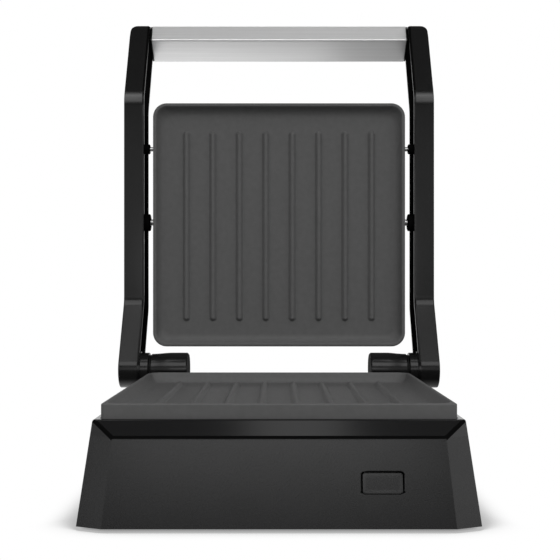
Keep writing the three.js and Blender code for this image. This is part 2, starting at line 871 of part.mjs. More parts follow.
// Right-hand arm: a shell that is open towards the grill, closed round the hinge boss.
function armShell() {
  const boss = turned([
    [0, seam],
    [hinge.barrelRadius, seam],
    [hinge.barrelRadius, armInner],
    [arm.hingeRadius, armInner],
    [arm.hingeRadius, armOuter - arm.edge],
    [arm.hingeRadius - arm.edge, armOuter],
    [0, armOuter],
  ], facets.barrel);
  const floor = armOuter - arm.wall;
  const cavity = cut(
    sidePrism(armOutline(arm.wall), armInner - overrun, floor),
    alongX(rod(arm.hingeRadius, armInner - 2 * overrun, armOuter, facets.barrel)),
  );
  const form = join(sidePrism(armOutline(), armInner, armOuter, arm.edge), alongX(boss));
  const shell = cut(form, cavity);
  const middle = arm.frontOffset + arm.thickness / 2;
  const highPost = armPoint(arm.thickness / 2, arm.upperLength * arm.highPostShare);
  const posts = [
    [pivot.bossRadius, pivot.back, pivot.up],
    [limit.bossRadius, limit.back, limit.up],
    [arm.postRadius, middle, arm.lowerBend + 2 * arm.postRadius],
    [arm.postRadius, highPost.x, highPost.y],
  ].map(([radius, back, up]) => {
    return alongX(rod(radius, coverOuter + gap.seat, floor + overrun), back, up);
  });
  const bore = (radius, from, to, back, up) => {
    return alongX(rod(radius + gap.seat, from, to + gap.seat), back, up);
  };
  return cut(
    join(shell, posts),
    bore(hinge.shaftRadius, seam - overrun, armOuter - hinge.shaftCap - gap.seat, 0, 0),
    bore(pivot.pinRadius, coverOuter, pinOuter, pivot.back, pivot.up),
    bore(limit.pinRadius, coverOuter, pinOuter, limit.back, limit.up),
  );
}

// Inner cover of the right arm, with the two nubs that the pivot and limit pins leave through.
function armCover() {
  const sheet = cut(
    sidePrism(armOutline(arm.wall + gap.seat), coverInner, coverOuter),
    alongX(rod(arm.hingeRadius + gap.seat, coverInner - overrun, coverOuter + overrun, facets.barrel)),
  );
  const through = (radius, place) => alongX(
    rod(radius + gap.seat, coverInner - pivot.nubReach - overrun, coverOuter + overrun),
    place.back,
    place.up,
  );
  const nub = ({ nubRadius, back, up }) => alongX(turned([
    [0, coverInner - pivot.nubReach],
    [nubRadius - arm.edge / 2, coverInner - pivot.nubReach],
    [nubRadius, coverInner - pivot.nubReach + arm.edge / 2],
    [nubRadius, coverOuter - arm.coverThickness / 2],
    [0, coverOuter - arm.coverThickness / 2],
  ], facets.pin), back, up);
  const centre = handleCentre();
  return cut(
    join(sheet, nub(pivot), nub(limit)),
    through(pivot.pinRadius, pivot),
    through(limit.pinRadius, limit),
    through(handle.screwRadius, { back: centre.x, up: centre.y }),
  );
}

function handleSection(inset = 0) {
  const low = arm.upperLength - handle.height;
  const far = handle.inset + handle.depth;
  const corners = [
    armPoint(handle.inset, low),
    armPoint(far, low - handle.droop),
    armPoint(far, arm.upperLength),
    armPoint(handle.inset, arm.upperLength),
  ];
  const outline = inset > 0 ? insetOutline(corners, inset) : corners;
  return filletOutline(outline, corners.map(() => handle.edgeRadius));
}

function handleBar() {
  const hollow = sidePrism(handleSection(handle.wall), -handleHalf - overrun, handleHalf + overrun);
  return cut(sidePrism(handleSection(), -handleHalf, handleHalf), hollow);
}

// End plug of the bar: a tenon inside the bar and a collar between the bar and the arm.
function handlePlug() {
  const collarFrom = handleHalf + gap.seat;
  const collarTo = armInner - gap.seat;
  const tenonFrom = handleHalf - handle.plugLength;
  const tenon = sidePrism(handleSection(handle.wall + gap.seat), tenonFrom, collarTo - gap.seat);
  const centre = handleCentre();
  const bore = rod(handle.screwRadius + gap.seat, tenonFrom - overrun, armInner);
  const collar = sidePrism(handleSection(), collarFrom, collarTo);
  return cut(join(tenon, collar), alongX(bore, centre.x, centre.y));
}

function handleScrew() {
  const headFrom = coverOuter + gap.seat;
  const centre = handleCentre();
  const tip = headFrom - handle.screwLength;
  return alongX(turned([
    [0, tip],
    [handle.screwRadius, tip],
    [handle.screwRadius, headFrom],
    [handle.screwHead, headFrom],
    [handle.screwHead, headFrom + handle.screwHeadHeight],
    [0, headFrom + handle.screwHeadHeight],
  ], facets.post), centre.x, centre.y);
}

function pinSolid(radius, from, place) {
  return alongX(rod(radius, from, pinOuter), place.back, place.up);
}

// A place in the side view, in the frame of the upper plate: y along the plate, z to the food side.
function inLid(place) {
  return [place.up - plateCentre, lidRim - place.back];
}

const lidHalf = plate.width / 2 + lid.margin;
const lidWallInner = lidHalf - lid.draft - lid.wall;

// Slot for the limit pin: its two end circles at the limits of the tilt, and what lies between.
function limitSlot(from, to) {
  const radius = limit.pinRadius + gap.seat;
  const [pivotY, pivotZ] = inLid(pivot);
  const [limitY, limitZ] = inLid(limit);
  const link = new THREE.Vector2(limitY - pivotY, limitZ - pivotZ);
  const centres = [-tilt, tilt].map((angle) => link.clone().rotateAround(new THREE.Vector2(), angle));
  const points = centres.flatMap((centre) => Array.from({ length: facets.pin }, (_, i) => {
    const angle = (2 * Math.PI * i) / facets.pin;
    return [pivotY + centre.x + radius * Math.cos(angle), pivotZ + centre.y + radius * Math.sin(angle)];
  }));
  const ends = points.flatMap(([y, z]) => [from, to].map((x) => new THREE.Vector3(x, y, z)));
  return toSolid(new ConvexGeometry(ends));
}

// Upper housing in the frame of the upper plate: a bevelled shell, open to the plate.
function upperHousing() {
  const rim = -plate.show;
  const back = rim - lid.depth;
  const wallInset = lid.wall - lid.margin;
  const form = loft([
    { outline: plateOutline(lid.bevelRun + lid.draft - lid.margin), at: back },
    { outline: plateOutline(lid.draft - lid.margin), at: back + lid.bevelDepth },
    { outline: plateOutline(-lid.margin), at: rim },
  ]);
  const hollow = loft([
    { outline: plateOutline(wallInset + lid.bevelRun + lid.draft), at: back + lid.wall },
    { outline: plateOutline(wallInset + lid.draft), at: back + lid.bevelDepth },
    { outline: plateOutline(wallInset), at: rim },
    { outline: plateOutline(wallInset), at: rim + overrun },
  ]);
  const post = rod(plate.postRadius, back + lid.wall / 2, -plateHeight - gap.seat, facets.post);
  const places = fourPlaces(
    plate.width / 2 - lid.postSide,
    lid.postEnd - plate.length / 2,
    plate.length / 2 - lid.postEnd,
  );
  const posts = places.map(([x, y]) => alongZ(post, x, y).intersect(form));
  const reach = lidHalf + overrun;
  const bearing = alongX(rod(pivot.pinRadius + bush.wall + 2 * gap.seat, -reach, reach), ...inLid(pivot));
  return cut(join(cut(form, hollow), posts), bearing, limitSlot(-reach, reach));
}

// Flanged bush of the pivot pin in the right wall of the upper housing.
function pivotBush() {
  const bore = pivot.pinRadius + gap.seat;
  const sleeve = bore + bush.wall;
  const shoulder = lidWallInner - gap.seat;
  return alongX(turned([
    [bore, shoulder - bush.flangeThickness],
    [sleeve + bush.flange, shoulder - bush.flangeThickness],
    [sleeve + bush.flange, shoulder],
    [sleeve, shoulder],
    [sleeve, lidHalf],
    [bore, lidHalf],
    [bore, shoulder - bush.flangeThickness],
  ], facets.pin), ...inLid(pivot));
}

function buttonOutline(inset) {
  const radius = Math.max(button.cornerRadius - inset, button.edge);
  return roundedRect(button.width - 2 * inset, button.tall - 2 * inset, radius);
}

// Push button with a raised border round a shallow dish, and its stem.
// The z of the face frame is outwards.
function pushButton() {
  const cap = loft([
    { outline: buttonOutline(gap.button), at: -button.depth },
    { outline: buttonOutline(gap.button), at: button.proud - button.edge },
    { outline: buttonOutline(gap.button + button.edge), at: button.proud },
  ]);
  const dish = loft([
    { outline: buttonOutline(gap.button + button.border + button.edge), at: button.proud - button.dish },
    { outline: buttonOutline(gap.button + button.border), at: button.proud },
    { outline: buttonOutline(gap.button + button.border), at: button.proud + overrun },
  ]);
  const stem = rod(button.stemRadius, -button.depth - button.stemLength, -button.depth + overrun);
  return join(cut(cap, dish), toSolid(stem));
}

const guideFront = -base.wall - gap.seat;
const guideBack = guideFront - guide.depth - guide.backThickness;

// Box guide behind the front face; the stem runs through its back.
function buttonGuide() {
  const outer = prism(buttonOutline(-guide.wall), guideBack, guideFront);
  const inner = prism(buttonOutline(0), guideBack + guide.backThickness, guideFront + overrun);
  const hole = rod(button.stemRadius + gap.seat, guideBack - overrun, guideFront);
  return cut(outer, inner, toSolid(hole));
}

// Push switch behind the guide: the stem runs into its bore.
function switchBody() {
  const front = guideBack - gap.seat;
  const back = front - powerSwitch.depth;
  const [halfWidth, halfTall] = [powerSwitch.width / 2, powerSwitch.tall / 2];
  const body = block([-halfWidth, halfWidth], [-halfTall, halfTall], [back, front]);
  const boreEnd = -button.depth - button.stemLength - button.travel - gap.seat;
  const bore = rod(button.stemRadius + gap.seat, boreEnd, front + overrun);
  const tabs = [-1, 1].map((side) => {
    const y = (side * powerSwitch.tabPitch) / 2;
    const half = powerSwitch.tabThickness / 2;
    return block(
      [-powerSwitch.tabWidth / 2, powerSwitch.tabWidth / 2],
      [y - half, y + half],
      [back - powerSwitch.tabLength, back + overrun],
    );
  });
  return join(cut(body, toSolid(bore)), tabs);
}

// Cord inlet: a flanged sleeve through the rear wall.
function cordGland() {
  const outside = base.rearOverhang + gap.seat;
  const inside = base.rearOverhang - base.wall - gap.seat;
  return alongY(turned([
    [gland.bore, inside - gland.collarThickness],
    [gland.neck + gland.collarThickness, inside - gland.collarThickness],
    [gland.neck + gland.collarThickness, inside],
    [gland.neck, inside],
    [gland.neck, outside],
    [gland.flange, outside],
    [gland.flange, outside + gland.flangeThickness - gland.edge],
    [gland.flange - gland.edge, outside + gland.flangeThickness],
    [gland.bore, outside + gland.flangeThickness],
    [gland.bore, inside - gland.collarThickness],
  ], facets.pin), 0, gland.height);
}

// Terminal block on the bottom cover, inside the cord inlet.
function terminalBlock() {
  const low = cover.thickness + gap.seat;
  const rear = base.rearOverhang - terminal.setback;
  const half = terminal.width / 2;
  const body = block([-half, half], [rear - terminal.depth, rear], [low, low + terminal.height]);
  const bores = Array.from({ length: terminal.count }, (_, i) => {
    const x = (i - (terminal.count - 1) / 2) * terminal.pitch;
    const bore = rod(terminal.bore, rear - terminal.depth - overrun, rear + overrun, facets.post);
    return alongY(bore, x, low + terminal.height / 2);
  });
  return cut(body, bores);
}

// Assembly.
const grill = new THREE.Group();

const baseGroup = new THREE.Group();
baseGroup.position.set(0, centreShift, foot.drop);
grill.add(baseGroup);

addPiece(baseGroup, 'base_housing', baseHousing(), blackPlastic);
addPiece(baseGroup, 'bottom_cover', bottomCover(), blackPlastic);
footPlaces().forEach(([x, y], i) => {
  addPiece(baseGroup, `foot_${i + 1}`, rubberFoot(), rubber).position.set(x, y, 0);
});
coverPostPlaces().forEach(([x, y], i) => {
  addPiece(baseGroup, `cover_screw_${i + 1}`, screwProfile(screw), steel).position.set(x, y, screw.recess);
});
addPiece(baseGroup, 'cord_gland', cordGland(), rubber);
addPiece(baseGroup, 'terminal_block', terminalBlock(), palePlastic);

// A plate with its heater pieces, in the plate's own frame.
function addPlate(group, level, hingeSide) {
  addPiece(group, `${level}_grill_plate`, grillPlate(level === 'upper', hingeSide), coating);
  addPiece(group, `${level}_heating_element`, heatingElement(hingeSide), heaterSheath);
  addPiece(group, `${level}_reflector_pan`, reflectorPan(hingeSide), tin);
  const head = -(floorUnder + gap.seat + pan.depth + gap.seat);
  panHolePlaces().forEach(([x, y], i) => {
    const mesh = addPiece(group, `${level}_pan_screw_${i + 1}`, screwProfile(panScrew), steel);
    mesh.position.set(x, y, head - panScrew.headHeight);
  });
}

const lowerPlateGroup = new THREE.Group();
lowerPlateGroup.position.set(0, -plateCentre, rimPlane);
baseGroup.add(lowerPlateGroup);
addPlate(lowerPlateGroup, 'lower', 1);
const underPan = -(floorUnder + gap.seat + pan.depth + gap.seat);
addPiece(lowerPlateGroup, 'thermostat', thermostatSolid(), palePlastic).position.set(0, 0, underPan);
const fuseMesh = addPiece(lowerPlateGroup, 'thermal_fuse', thermalFuse(), steel);
fuseMesh.position.set(fuse.offset, fuse.back, underPan - fuse.radius);

const faceGroup = new THREE.Group();
faceGroup.applyMatrix4(faceFrame());
baseGroup.add(faceGroup);
addPiece(faceGroup, 'power_button', pushButton(), blackPlastic);
addPiece(faceGroup, 'button_guide', buttonGuide(), blackPlastic);
addPiece(faceGroup, 'power_switch', switchBody(), palePlastic);

const hingeGroup = new THREE.Group();
hingeGroup.position.set(0, centreShift, foot.drop + axisHeight);
grill.add(hingeGroup);
addPair(hingeGroup, 'hinge_barrel', hingeBarrel(), blackPlastic);
addPair(hingeGroup, 'hinge_washer', hingeWasher(), washerPlastic);
addPair(hingeGroup, 'hinge_shaft', hingeShaft(), steel);
addPair(hingeGroup, 'arm_shell', armShell(), blackPlastic);
addPair(hingeGroup, 'arm_cover', armCover(), blackPlastic);
addPair(hingeGroup, 'handle_plug', handlePlug(), blackPlastic);
addPair(hingeGroup, 'handle_screw', handleScrew(), steel);
addPair(hingeGroup, 'pivot_pin', pinSolid(pivot.pinRadius, lidWallInner - pinTail, pivot), steel);
addPair(hingeGroup, 'limit_pin', pinSolid(limit.pinRadius, lidWallInner - pinTail, limit), steel);
addPiece(hingeGroup, 'handle_bar', handleBar(), aluminium);

const upperGroup = new THREE.Group();
upperGroup.position.set(0, lidRim, plateCentre);
upperGroup.rotation.x = Math.PI / 2;
hingeGroup.add(upperGroup);
addPlate(upperGroup, 'upper', -1);
addPiece(upperGroup, 'upper_housing', upperHousing(), blackPlastic);
addPair(upperGroup, 'pivot_bush', pivotBush(), washerPlastic);

export default grill;
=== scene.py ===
import json
import math

import bmesh
import bpy
from mathutils import Matrix, Vector

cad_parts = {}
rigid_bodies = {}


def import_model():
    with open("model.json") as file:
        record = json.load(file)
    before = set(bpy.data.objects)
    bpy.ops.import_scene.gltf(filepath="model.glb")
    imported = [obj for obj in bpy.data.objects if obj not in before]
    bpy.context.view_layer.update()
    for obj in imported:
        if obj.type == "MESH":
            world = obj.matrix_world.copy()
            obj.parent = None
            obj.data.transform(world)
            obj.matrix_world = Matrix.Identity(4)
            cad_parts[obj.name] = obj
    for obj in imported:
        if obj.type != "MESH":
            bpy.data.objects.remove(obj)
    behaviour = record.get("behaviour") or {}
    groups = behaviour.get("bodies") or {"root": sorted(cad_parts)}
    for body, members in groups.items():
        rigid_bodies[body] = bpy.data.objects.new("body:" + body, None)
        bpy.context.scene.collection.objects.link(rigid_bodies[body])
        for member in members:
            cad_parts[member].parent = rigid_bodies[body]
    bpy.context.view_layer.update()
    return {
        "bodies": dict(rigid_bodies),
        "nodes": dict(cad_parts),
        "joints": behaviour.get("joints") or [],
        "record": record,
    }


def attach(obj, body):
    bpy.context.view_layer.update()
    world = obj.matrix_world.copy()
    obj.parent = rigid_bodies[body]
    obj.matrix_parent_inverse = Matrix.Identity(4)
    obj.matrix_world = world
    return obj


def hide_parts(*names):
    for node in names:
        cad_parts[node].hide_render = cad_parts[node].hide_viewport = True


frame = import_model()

# Shapes are measured in millimetres, which mm turns into metres; the room is measured in metres.
mm = 0.001
scene = bpy.context.scene
hinge_axis = next(Vector(joint["pos_m"]) for joint in frame["joints"] if joint["name"] == "arm_hinge")


# Camera: level, in front of the middle, at the height that the lower plate's edges give.
def make_camera(distance, height, lens, shift):
    data = bpy.data.cameras.new("camera")
    data.sensor_width = 36
    data.lens = lens
    data.shift_x, data.shift_y = shift
    camera = bpy.data.objects.new("camera", data)
    camera.location = (0, -distance, height)
    camera.rotation_euler = (math.pi / 2, 0, 0)
    scene.collection.objects.link(camera)
    scene.camera = camera


make_camera(distance=0.7408, height=0.1516, lens=58.8, shift=(0.0017, 0.0162))


# Node helpers, for materials, the world and Geometry Nodes alike. A node's inputs are given by name
# or number: what is a socket is linked to the input, and anything else is set on it.
def node(tree, kind, inputs=None, **settings):
    made = tree.nodes.new(kind)
    for name, value in settings.items():
        setattr(made, name, value)
    for name, value in (inputs or {}).items():
        if isinstance(value, bpy.types.NodeSocket):
            tree.links.new(value, made.inputs[name])
        else:
            made.inputs[name].default_value = value
    return made


def math_node(tree, operation, *values):
    return node(tree, "ShaderNodeMath", dict(enumerate(values)), operation=operation).outputs[0]


# The product of two values or more.
def times(tree, first, *others):
    for other in others:
        first = math_node(tree, "MULTIPLY", first, other)
    return first


def parts_of(tree, vector):
    return node(tree, "ShaderNodeSeparateXYZ", {0: vector}).outputs


# A vector from its parts; the parts that aren't given are zero.
def vector_of(tree, *parts):
    return node(tree, "ShaderNodeCombineXYZ", dict(enumerate(parts))).outputs[0]


# The place of a shaded point in its object's own coordinates.
def own_place(tree):
    return node(tree, "ShaderNodeTexCoord").outputs["Object"]


# A smooth change from the first value to the last as the source goes from low to high.
def fade(tree, source, low, high, first, last):
    inputs = {"Value": source, "From Min": low, "From Max": high, "To Min": first, "To Max": last}
    return node(tree, "ShaderNodeMapRange", inputs, interpolation_type="SMOOTHSTEP").outputs[0]


def mixed(tree, factor, first, second):
    return node(tree, "ShaderNodeMixShader", {0: factor, 1: first, 2: second}).outputs[0]


def new_material(name):
    material = bpy.data.materials.new(name)
    material.use_nodes = True
    material.node_tree.nodes.clear()
    return material, material.node_tree


# One shader for light that is passed on, one for gloss and one for what is seen directly.
def by_ray(tree, soft, gloss, seen):
    path = node(tree, "ShaderNodeLightPath").outputs
    clear = math_node(tree, "MAXIMUM", path["Is Camera Ray"], path["Is Transmission Ray"])
    return mixed(tree, clear, mixed(tree, path["Is Glossy Ray"], soft, gloss), seen)


# World: white where it is seen, a soft light stronger from above and the right, and in gloss a pale
# backdrop behind the grill that fades to a dim studio above and in front of it.
def make_world(from_below, from_above, from_left, from_right, dim):
    world = bpy.data.worlds.new("studio_air")
    world.use_nodes = True
    scene.world = world
    tree = world.node_tree
    tree.nodes.clear()
    x, y, z = parts_of(tree, node(tree, "ShaderNodeTexCoord").outputs["Generated"])
    height = fade(tree, z, -0.3, 0.9, from_below, from_above)
    side = fade(tree, x, -0.8, 0.8, from_left, from_right)
    backdrop = times(tree, fade(tree, z, 0.12, 0.45, 1, 0), fade(tree, y, -0.1, 0.4, 0, 1))
    shaders = [
        node(tree, "ShaderNodeBackground", {"Color": (1, 1, 1, 1), "Strength": strength}).outputs[0]
        for strength in (times(tree, height, side), math_node(tree, "MAXIMUM", backdrop, dim), 1)
    ]
    node(tree, "ShaderNodeOutputWorld", {"Surface": by_ray(tree, *shaders)})


# Floor: grey for the light it passes on. Where it is seen it is white, darker round the object by
# the shadow, and darker still beneath it. Its sky is felt for a little towards the front, so that
# the shadow lies less in front. In gloss it is dimmer in front and to the right.
def make_floor(grey, reach, shadow, beneath, front_gloss, right_gloss):
    material, tree = new_material("pale_floor")
    paint = node(tree, "ShaderNodeBsdfDiffuse", {"Color": (grey, grey, grey, 1)}).outputs[0]
    sky = {"Distance": reach, "Normal": vector_of(tree, 0, -0.6, 0.8)}
    free = node(tree, "ShaderNodeAmbientOcclusion", sky, samples=24).outputs["AO"]
    shade = times(tree, fade(tree, free, 0.7, 1, shadow, 1), fade(tree, free, 0.1, 0.4, beneath, 1))
    x, y, _ = parts_of(tree, own_place(tree))
    gloss = times(
        tree, fade(tree, y, 0.03, 0.1, front_gloss, 1), fade(tree, x, -0.25, 0.25, 1, right_gloss)
    )
    glows = [
        node(tree, "ShaderNodeEmission", {"Strength": strength}).outputs[0]
        for strength in (gloss, shade)
    ]
    node(tree, "ShaderNodeOutputMaterial", {"Surface": by_ray(tree, paint, *glows)})
    bpy.ops.mesh.primitive_plane_add(size=60, location=(0, 0, 0))
    floor = bpy.context.object
    floor.name = "floor"
    floor.data.materials.append(material)


# A soft box at a place, turned to a target.
def soft_box(name, place, target, width, height, watts):
    data = bpy.data.lights.new(name, "AREA")
    data.shape = "RECTANGLE"
    data.size = width
    data.size_y = height
    data.energy = watts
    lamp = bpy.data.objects.new(name, data)
    lamp.location = place
    lamp.rotation_mode = "QUATERNION"
    lamp.rotation_quaternion = (Vector(target) - Vector(place)).to_track_quat("-Z", "Y")
    scene.collection.objects.link(lamp)


# The roof boxes give the lines on the hinge barrels and the brow boxes those on the arms' upper
# bends; the bar fill, behind the upper grill, lights the underside of the handle bar.
def place_lamps():
    soft_box("front_strip", (-0.06, -1.6, 0.35), (-0.06, 0, 0.35), 2.0, 0.6, 1.32)
    soft_box("front_box", (-0.05, -3.1, 2.6), (-0.05, 0.1, 0.2), 2.7, 1.75, 24.5)
    soft_box("band_box", (0.036, -0.75, 1.22), (0.011, -0.16, 0.063), 0.2, 0.5, 0.37)
    soft_box("low_panel", (-0.02, -0.9, 0.2), (-0.02, 0, 0.2), 0.46, 0.14, 0.28)
    soft_box("left_edge", (-1.05, -1.1, 0.25), (0.13, 0.1, 0.25), 0.2, 0.5, 0.5)
    soft_box("bar_fill", (-0.055, 0.175, 0.2), (-0.055, 0.15, 0.37), 0.24, 0.07, 0.022)
    for name, side, roof, brow, box in (("left", -1, 0.044, 0.03, 0.88), ("right", 1, 0.024, 0.032, 2.1)):
        barrel, bend = (side * 0.133, 0.09, 0.11), (side * 0.131, 0.107, 0.333)
        soft_box(f"{name}_roof", (side * 0.228, -0.23, 0.6), barrel, 0.08, 0.2, roof)
        soft_box(f"{name}_brow", (side * 0.186, -0.125, 0.6), bend, 0.08, 0.08, brow)
        soft_box(f"{name}_box", (side * 1.3, -1.05, 0.35), (side * 0.1, -0.1, 0.1), 0.7, 0.8, box)


scene.view_settings.view_transform = "Standard"
make_world(from_below=0.5, from_above=1.35, from_left=0.72, from_right=1.28, dim=0.06)
make_floor(grey=0.25, reach=0.03, shadow=0.48, beneath=0.45, front_gloss=0.08, right_gloss=0.4)
place_lamps()


# Shapes. An outline is a list of 2D points in millimetres, counter-clockwise.
def inset_outline(points, distance):
    if distance == 0:
        return list(points)
    drawn_in = []
    for i, point in enumerate(points):
        first = (point - points[i - 1]).normalized()
        second = (points[(i + 1) % len(points)] - point).normalized()
        normals = Vector((-first.y - second.y, first.x + second.x))
        drawn_in.append(point + normals * (distance / (1 + first.dot(second))))
    return drawn_in


def round_corners(points, radii, steps):
    outline = []
    for i, (point, radius) in enumerate(zip(points, radii)):
        if radius == 0:
            outline.append(point)
            continue
        first = (point - points[i - 1]).normalized()
        second = (points[(i + 1) % len(points)] - point).normalized()
        turn = math.atan2(first.x * second.y - first.y * second.x, first.dot(second))
        side = math.copysign(radius, turn)
        start = point - first * (radius * math.tan(abs(turn) / 2))
        spoke = Vector((first.y, -first.x)) * side
        for k in range(steps + 1):
            outline.append(start - spoke + Matrix.Rotation(turn * k / steps, 2) @ spoke)
    return outline


# A rectangle with rounded corners; near is the radius of the two at its lower end.
def round_rect(width, length, radius, steps=8, place=(0, 0), near=None):
    x, y = width / 2, length / 2
    corners = [Vector((u + place[0], v + place[1])) for u, v in ((-x, -y), (x, -y), (x, y), (-x, y))]
    near = radius if near is None else near
    return round_corners(corners, [near, near, radius, radius], steps)


def circle(radius, steps, place=(0, 0), start=0.0, end=math.tau):
    count = steps if end - start >= math.tau else steps + 1
    return [
        Vector((
            place[0] + radius * math.cos(start + (end - start) * k / steps),
            place[1] + radius * math.sin(start + (end - start) * k / steps),
        ))
        for k in range(count)
    ]


# A rounded edge as pairs of distances from its two faces, from (0, radius) to (radius, 0).
def quarter_round(radius, steps=4):
    turns = (math.pi / 2 * k / steps for k in range(steps + 1))
    return [(radius * (1 - math.cos(turn)), radius * (1 - math.sin(turn))) for turn in turns]


# Levels and insets of a slab whose two edges are rounded.
def rounded_levels(low, high, low_edge, high_edge, steps):
    lower = [(low + rise, inset) for rise, inset in quarter_round(low_edge, steps)]
    upper = [(high - drop, inset) for drop, inset in quarter_round(high_edge, steps)]
    return lower + upper[::-1]


# A closed surface through rings of equal point counts; its ends are capped or joined.
def loft(shape, rings, joined=False):
    rows = [[shape.verts.new(point) for point in ring] for ring in rings]
    if joined:
        rows.append(rows[0])
    for first, second in zip(rows, rows[1:]):
        for i in range(len(first)):
            j = (i + 1) % len(first)
            shape.faces.new((first[i], first[j], second[j], second[i]))
    if not joined:
        shape.faces.new(list(reversed(rows[0])))
        shape.faces.new(rows[-1])


def lofted(rings, joined=False):
    shape = bmesh.new()
    loft(shape, rings, joined)
    return shape


def shift(x, y, z):
    return Matrix.Translation(Vector((x, y, z)) * mm)


# A ring of an outline laid flat at a height, or leaning along Y.
def flat_ring(points, height, tilt=0.0):
    return [Vector((p.x, p.y, height + tilt * p.y)) * mm for p in points]


# A ring of an outline of the side view, (back, up) from the hinge axis, at a place along X.
def side_ring(points, place, side):
    return [Vector((side * place * mm, hinge_axis.y + p.x * mm, hinge_axis.z + p.y * mm)) for p in points]


def side_rings(outline, levels, side):
    return [side_ring(inset_outline(outline, inset), place, side) for place, inset in levels]


# A turned form along X: (place, radius) pairs about a point of the side view.
def turned_x(shape, profile, centre, side, sides=64):
    rings = [side_ring(circle(max(radius, 0.01), sides, centre), place, side) for place, radius in profile]
    loft(shape, rings, joined=profile[0][1] > 0)


# A form turned round +Z through (height, radius) pairs.
def turned_z(profile, sides=32):
    rings = [flat_ring(circle(max(radius, 0.01), sides), height) for height, radius in profile]
    return lofted(rings, joined=profile[0][1] > 0)


# A round post along Z between two heights.
def add_post(shape, radius, low, high, place=(0, 0)):
    loft(shape, [flat_ring(circle(radius, 24, place), height) for height in (low, high)])


# Marks the faces that pass a test, given their middle and normal, for painted shade: an unlit black.
def shade_faces(shape, test):
    mark = shape.faces.layers.float.get("shade") or shape.faces.layers.float.new("shade")
    for face in shape.faces:
        if test(face.calc_center_median(), face.normal):
            face[mark] = 1


# An object made of the shape, which is used up.
def made_object(name, shape):
    mesh = bpy.data.meshes.new(name)
    shape.to_mesh(mesh)
    shape.free()
    made = bpy.data.objects.new(name, mesh)
    scene.collection.objects.link(made)
    return made


# Turns what the modifiers make into the object's own plain mesh.
def settle(piece):
    view = bpy.context.evaluated_depsgraph_get()
    mesh = bpy.data.meshes.new_from_object(piece.evaluated_get(view))
    piece.modifiers.clear()
    piece.data = mesh
    return piece


# Makes the shape a piece of the grill.
def keep(name, shape, body, slot, *stands_for, smooth=38, look=None):
    bmesh.ops.remove_doubles(shape, verts=shape.verts, dist=2e-7)
    bmesh.ops.recalc_face_normals(shape, faces=shape.faces)
    dress(made_object(name, shape), body, slot, stands_for, smooth, look)


# Smooth where it is nearly flat or round, with its finish, its body and the nodes it stands for.
def dress(piece, body, slot, stands_for, smooth, look=None):
    piece.data.shade_smooth()
    piece.data.set_sharp_from_angle(angle=math.radians(smooth))
    weighted = piece.modifiers.new("even_normals", "WEIGHTED_NORMAL")
    weighted.keep_sharp = True
    weighted.weight = 80
    settle(piece)
    piece.data.materials.clear()
    piece.data.materials.append(finishes[look or slot])
    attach(piece, body)
    if stands_for:
        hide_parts(*stands_for)


# A shape that is taken away again after it has cut.
def cutter(name, shape):
    bmesh.ops.recalc_face_normals(shape, faces=shape.faces)
    return made_object(name, shape)


def opened(piece, *cutters):
    for one in cutters:
        modifier = piece.modifiers.new("opening", "BOOLEAN")
        modifier.object = one
        modifier.solver = "EXACT"
    settle(piece)
    for one in cutters:
        bpy.data.objects.remove(one)
    return piece


# Geometry Nodes helpers. A tree has named inputs, (name, kind, starting value), and a finish; with
# it come the identifiers of its inputs and their values inside.
def new_tree(name, inputs):
    tree = bpy.data.node_groups.new(name, "GeometryNodeTree")
    sockets = {}
    for label, kind, value in (*inputs, ("Finish", "Material", None)):
        socket = tree.interface.new_socket(label, in_out="INPUT", socket_type=f"NodeSocket{kind}")
        if value is not None:
            socket.default_value = value
        sockets[label] = socket.identifier
    tree.interface.new_socket("Geometry", in_out="OUTPUT", socket_type="NodeSocketGeometry")
    return tree, sockets, node(tree, "NodeGroupInput").outputs


# Points in a row along X about the middle, by the inputs Count and Pitch.
def row_of_points(tree, given):
    gaps = math_node(tree, "SUBTRACT", given["Count"], 1.0)
    return node(tree, "GeometryNodeMeshLine", {
        "Count": given["Count"],
        "Start Location": vector_of(tree, times(tree, gaps, given["Pitch"], -0.5)),
        "Offset": vector_of(tree, given["Pitch"]),
    }).outputs[0]


# Where the points of the geometry are, as x, y and z.
def point_parts(tree):
    return parts_of(tree, node(tree, "GeometryNodeInputPosition").outputs[0])


# Geometry moved by an Offset or to a Position.
def moved(tree, geometry, kind, vector):
    return node(tree, "GeometryNodeSetPosition", {"Geometry": geometry, kind: vector}).outputs[0]


# Every tree ends this way: a form at each point, as real geometry with its finish.
def repeated(tree, points, form, material, rotation=(0, 0, 0)):
    placed = node(tree, "GeometryNodeInstanceOnPoints", {
        "Points": points, "Instance": form, "Rotation": rotation,
    }).outputs[0]
    real = node(tree, "GeometryNodeRealizeInstances", {0: placed}).outputs[0]
    painted = node(tree, "GeometryNodeSetMaterial", {"Geometry": real, "Material": material}).outputs[0]
    node(tree, "NodeGroupOutput", {0: painted})


# A plain mesh made by a tree with the given sizes.
def grown(name, tree, sockets, slot, **sizes):
    piece = bpy.data.objects.new(name, bpy.data.meshes.new(name))
    scene.collection.objects.link(piece)
    modifier = piece.modifiers.new(name, "NODES")
    modifier.node_group = tree
    for size, value in sizes.items():
        modifier[sockets[size]] = value
    modifier[sockets["Finish"]] = finishes[slot]
    return settle(piece)


# Finishes. Each has a slow change of tone and a fine grain, both from noise in the piece's own
# coordinates in metres: a grain scale of 3000 gives marks of about a third of a millimetre. Most
# of the noise lies in the middle of its range, so the changes are spread over that.
noise_middle = (0.3, 0.7)


def noise(tree, source, scale, detail, stretch):
    placed = node(tree, "ShaderNodeMapping", {"Vector": source, "Scale": stretch}).outputs[0]
    inputs = {"Vector": placed, "Scale": scale, "Detail": detail}
    return node(tree, "ShaderNodeTexNoise", inputs).outputs["Fac"]


